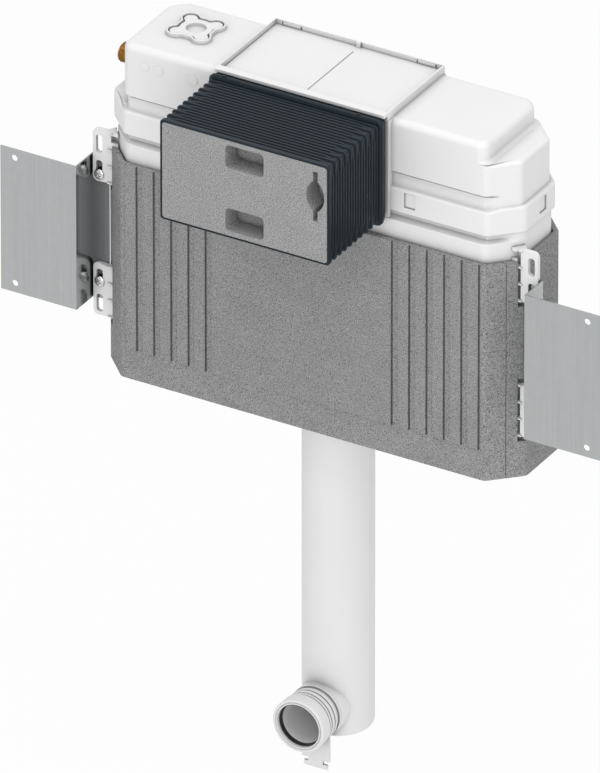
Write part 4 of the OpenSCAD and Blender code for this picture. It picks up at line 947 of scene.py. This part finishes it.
def make_lug(place):
    """Slotted plate with thin ribs on its inner edge, open between them on the right, and a web behind."""
    side = 1 if place.endswith("right") else -1
    upper = place.startswith("upper")
    rise = LUG_RISE[place]
    middle = LUG_MIDDLE_UPPER if upper else LUG_MIDDLE_LOWER
    lug = clean_copy("lug_" + place)
    # The outer edge comes in, the ribs get thinner, the rear face goes back and all of it rises
    for v in lug.data.vertices:
        x, y, z = v.co / MM
        over = max(0.0, abs(x) - LUG_EDGE)
        x -= math.copysign(over * 0.15, x)
        rib = round((z - middle) / RIB_PITCH - 0.5) + 0.5
        off = z - middle - rib * RIB_PITCH
        if abs(off) < 1.7 and 235.0 < abs(x) < 239.2 and y < LUG_FRONT + 0.1:
            z -= off * 0.5
        y += 1.4 if y > 32.5 else 0.0
        v.co = Vector((x, y, z + rise)) * MM
    middle += rise
    for i in range(4):
        z = middle + (i - 1.5) * RIB_PITCH
        if side < 0:
            combine(lug, box_object((-239.4, 28.6, z - 0.75), (-233.8, 31.0, z + 0.75)), "UNION")
        elif not (upper and i == 3):
            window = box_object((RIB_X[0], LUG_FRONT - 3, z + 1.0), (RIB_X[1], 36.0, z + RIB_PITCH - 1.0))
            combine(lug, window, "DIFFERENCE")
    if upper:
        xs = sorted((side * 225.0, side * 236.5))
        combine(lug, box_object((xs[0], 36.0, middle + 5.0), (xs[1], 37.6, middle + 28.0)), "UNION")
    bevelled(lug, 0.4)
    smoothed(lug)
    finish_piece(lug, "lug_" + place)


def make_screws():
    """Round-headed screws with a cross recess, each turned a little."""
    made = None
    head = ((0.1, 5.2), (0.0, 5.75), (-0.5, 5.8), (-1.0, 5.45), (-1.6, 4.7), (-2.1, 3.6), (-2.45, 2.2), (-2.6, 0.8))
    shank = ((11.4, 2.6), (11.0, 2.95), (-0.5, 2.95))
    turn = Matrix.Rotation(math.radians(25), 4, "Y")
    for x, z, hole_z in ((-LUG_X, 61.8, 60.4), (-LUG_X, -61.2, -63.0), (LUG_X, 61.6, 60.4), (LUG_X, -62.0, -63.0)):
        screw = object_from("screw", lathe(head, "y", (x, LUG_FRONT, z), 48, closed=False))
        combine(screw, object_from("shank", lathe(shank, "y", (x, LUG_FRONT, hole_z), 32, closed=False)), "UNION")
        centre = Vector((x, 0, z)) * MM
        for w, h in ((0.6, 2.9), (2.9, 0.6)):
            cut = box_object((x - w, LUG_FRONT - 4, z - h), (x + w, LUG_FRONT - 1.0, z + h))
            cut.data.transform(Matrix.Translation(centre) @ turn @ Matrix.Translation(-centre))
            combine(screw, cut, "DIFFERENCE")
        if made is None:
            made = screw
        else:
            combine(made, screw, "UNION")
    smoothed(made, 40.0)
    finish_piece(made, "lug_screws")


# Foam shells

FRONT_FOAM_TOP, REAR_FOAM_TOP = 98.0, 101.3
FOAM_WALL, SEAM_Y = 5.4, 20.9
PAD_HALF, STRIP_WIDTH = 104.0, 13.0
STRIP_ENDS = [124.0 + 20.0 * i for i in range(5)]


def make_front_foam():
    """Front foam shell: lower than the rear one, its pads run up to its top edge with a groove on one side."""
    case = case_plan(8)
    shell = prism(case, CASE_BOTTOM, FRONT_FOAM_TOP)
    combine(shell, prism(case, TANK_BOTTOM, 110, FOAM_WALL), "DIFFERENCE")
    combine(shell, box_object((-250, SEAM_Y, -160), (250, 140, 120)), "DIFFERENCE")
    pads = [(-PAD_HALF, PAD_HALF)]
    for end in STRIP_ENDS:
        pads += [(end - STRIP_WIDTH, end), (-end, STRIP_WIDTH - end)]
    for x0, x1 in pads:
        combine(shell, box_object((x0, 3.8, -113.0), (x1, 6.0, FRONT_FOAM_TOP)), "UNION")
        combine(shell, box_object((x1 - 0.9, 2.0, -112.4), (x1 + 0.6, 6.6, FRONT_FOAM_TOP + 1)), "DIFFERENCE")
    bevelled(shell, 0.6)
    smoothed(shell)
    finish_piece(shell, "insulation_front")


def make_rear_foam():
    """Rear foam shell: beside the seam as low as the front one, higher behind the lugs."""
    shell = clean_copy("insulation_rear")
    for y0, y1, top in ((10.0, 32.0, FRONT_FOAM_TOP), (31.0, 140.0, REAR_FOAM_TOP)):
        combine(shell, box_object((-250, y0, top), (250, y1, 110.0)), "DIFFERENCE")
    bevelled(shell, 1.2)
    smoothed(shell)
    finish_piece(shell, "insulation_rear")


# Pieces that keep the shape of their solids, with rounded edges

EDGE_WIDTHS = {
    "shaft_plug": 1.4, "wing_left": 0.35, "wing_right": 0.35, "lug_nuts": 0.4, "outlet_seal": 0.5, "hood_gasket": 0.5,
    "pipe_seal": 0.5, "inlet_washer": 0.3, "inlet_nut": 0.6, "stop_valve_body": 0.6, "stop_valve_knob": 1.0,
    "supply_hose": 0.3, "fill_valve_body": 0.6, "fill_valve_bracket": 0.6, "fill_float": 1.5, "fill_lever": 0.5,
    "valve_base": 0.8, "valve_base_seal": 0.4, "valve_nut": 1.0, "valve_cage": 0.6, "flush_tube": 0.8,
    "flush_seal": 0.6, "half_flush_rod": 0.8, "lever_bracket": 0.6, "lever_pin": 0.4,
    "full_flush_lever": 0.6, "half_flush_lever": 0.6,
}


def make_refined():
    """All pieces of EDGE_WIDTHS, with more steps on the wide edges."""
    for node, width in EDGE_WIDTHS.items():
        refined(node, width, 3 if width > 1.2 else 2)


# Stage and light

FLOOR_Z = -0.72
FLOOR_HALF = 30.0
FLOOR_GLOW = 0.93


def make_stage():
    """Pale floor, seen nearly white, which keeps the object's shadow."""
    mesh = bpy.data.meshes.new("floor")
    s = FLOOR_HALF
    mesh.from_pydata([(-s, -s, FLOOR_Z), (s, -s, FLOOR_Z), (s, s, FLOOR_Z), (-s, s, FLOOR_Z)], [], [(0, 1, 2, 3)])
    floor = add_object("floor", mesh)
    mat = bpy.data.materials.new("floor")
    mat.use_nodes = True
    tree = mat.node_tree
    bsdf = tree.nodes["Principled BSDF"]
    bsdf.inputs["Base Color"].default_value = (0.95, 0.95, 0.95, 1)
    bsdf.inputs["Roughness"].default_value = 0.9
    glow = tree.nodes.new("ShaderNodeEmission")
    glow.inputs["Color"].default_value = (1, 1, 1, 1)
    mix = tree.nodes.new("ShaderNodeMixShader")
    share = tree.nodes.new("ShaderNodeMath")
    share.operation = "MULTIPLY"
    share.inputs[1].default_value = FLOOR_GLOW
    tree.links.new(seen_directly(tree), share.inputs[0])
    tree.links.new(share.outputs[0], mix.inputs[0])
    tree.links.new(bsdf.outputs[0], mix.inputs[1])
    tree.links.new(glow.outputs[0], mix.inputs[2])
    tree.links.new(mix.outputs[0], tree.nodes["Material Output"].inputs[0])
    floor.data.materials.append(mat)


def seen_directly(tree):
    """1 for rays from the camera, off glossy surfaces or through glass."""
    path = tree.nodes.new("ShaderNodeLightPath")
    total = path.outputs["Is Camera Ray"]
    for name in ("Is Glossy Ray", "Is Transmission Ray"):
        node = tree.nodes.new("ShaderNodeMath")
        node.operation = "MAXIMUM"
        tree.links.new(total, node.inputs[0])
        tree.links.new(path.outputs[name], node.inputs[1])
        total = node.outputs[0]
    return total


def make_world(ambient):
    """White surroundings: of strength 1 where they are seen, of strength ambient where they light."""
    world = bpy.data.worlds.new("studio")
    bpy.context.scene.world = world
    world.use_nodes = True
    tree = world.node_tree
    tree.nodes.clear()
    lit = tree.nodes.new("ShaderNodeBackground")
    lit.inputs["Color"].default_value = (1.0, 1.0, 1.0, 1)
    lit.inputs["Strength"].default_value = ambient
    seen = tree.nodes.new("ShaderNodeBackground")
    seen.inputs["Color"].default_value = (1, 1, 1, 1)
    seen.inputs["Strength"].default_value = 1.0
    mix = tree.nodes.new("ShaderNodeMixShader")
    out = tree.nodes.new("ShaderNodeOutputWorld")
    tree.links.new(seen_directly(tree), mix.inputs[0])
    tree.links.new(lit.outputs[0], mix.inputs[1])
    tree.links.new(seen.outputs[0], mix.inputs[2])
    tree.links.new(mix.outputs[0], out.inputs[0])


def area_light(name, place, size, power):
    """Round lamp that looks at the object."""
    data = bpy.data.lights.new(name, "AREA")
    data.shape = "DISK"
    data.size = size
    data.energy = power
    lamp = bpy.data.objects.new(name, data)
    lamp.location = place
    lamp.rotation_mode = "QUATERNION"
    lamp.rotation_quaternion = (Vector((0, 0.05, 0.0)) - Vector(place)).to_track_quat("-Z", "Y")
    bpy.context.scene.collection.objects.link(lamp)


def make_lights():
    make_world(0.62)
    area_light("top", (0.3, -0.6, 2.6), 2.2, 28.5)
    area_light("front", (1.2, -2.7, 0.9), 2.0, 24.0)
    area_light("right", (2.6, -0.8, 0.5), 1.8, 2.0)
    bpy.context.scene.view_settings.view_transform = "Standard"


make_camera()
make_hood()
make_lower_tank()
make_port_cap()
make_lid()
make_sleeve()
make_pipe()
make_outlet()
make_clip()
make_inlet()
for lug_place in LUG_RISE:
    make_lug(lug_place)
make_screws()
make_front_foam()
make_rear_foam()
make_refined()
make_stage()
make_lights()
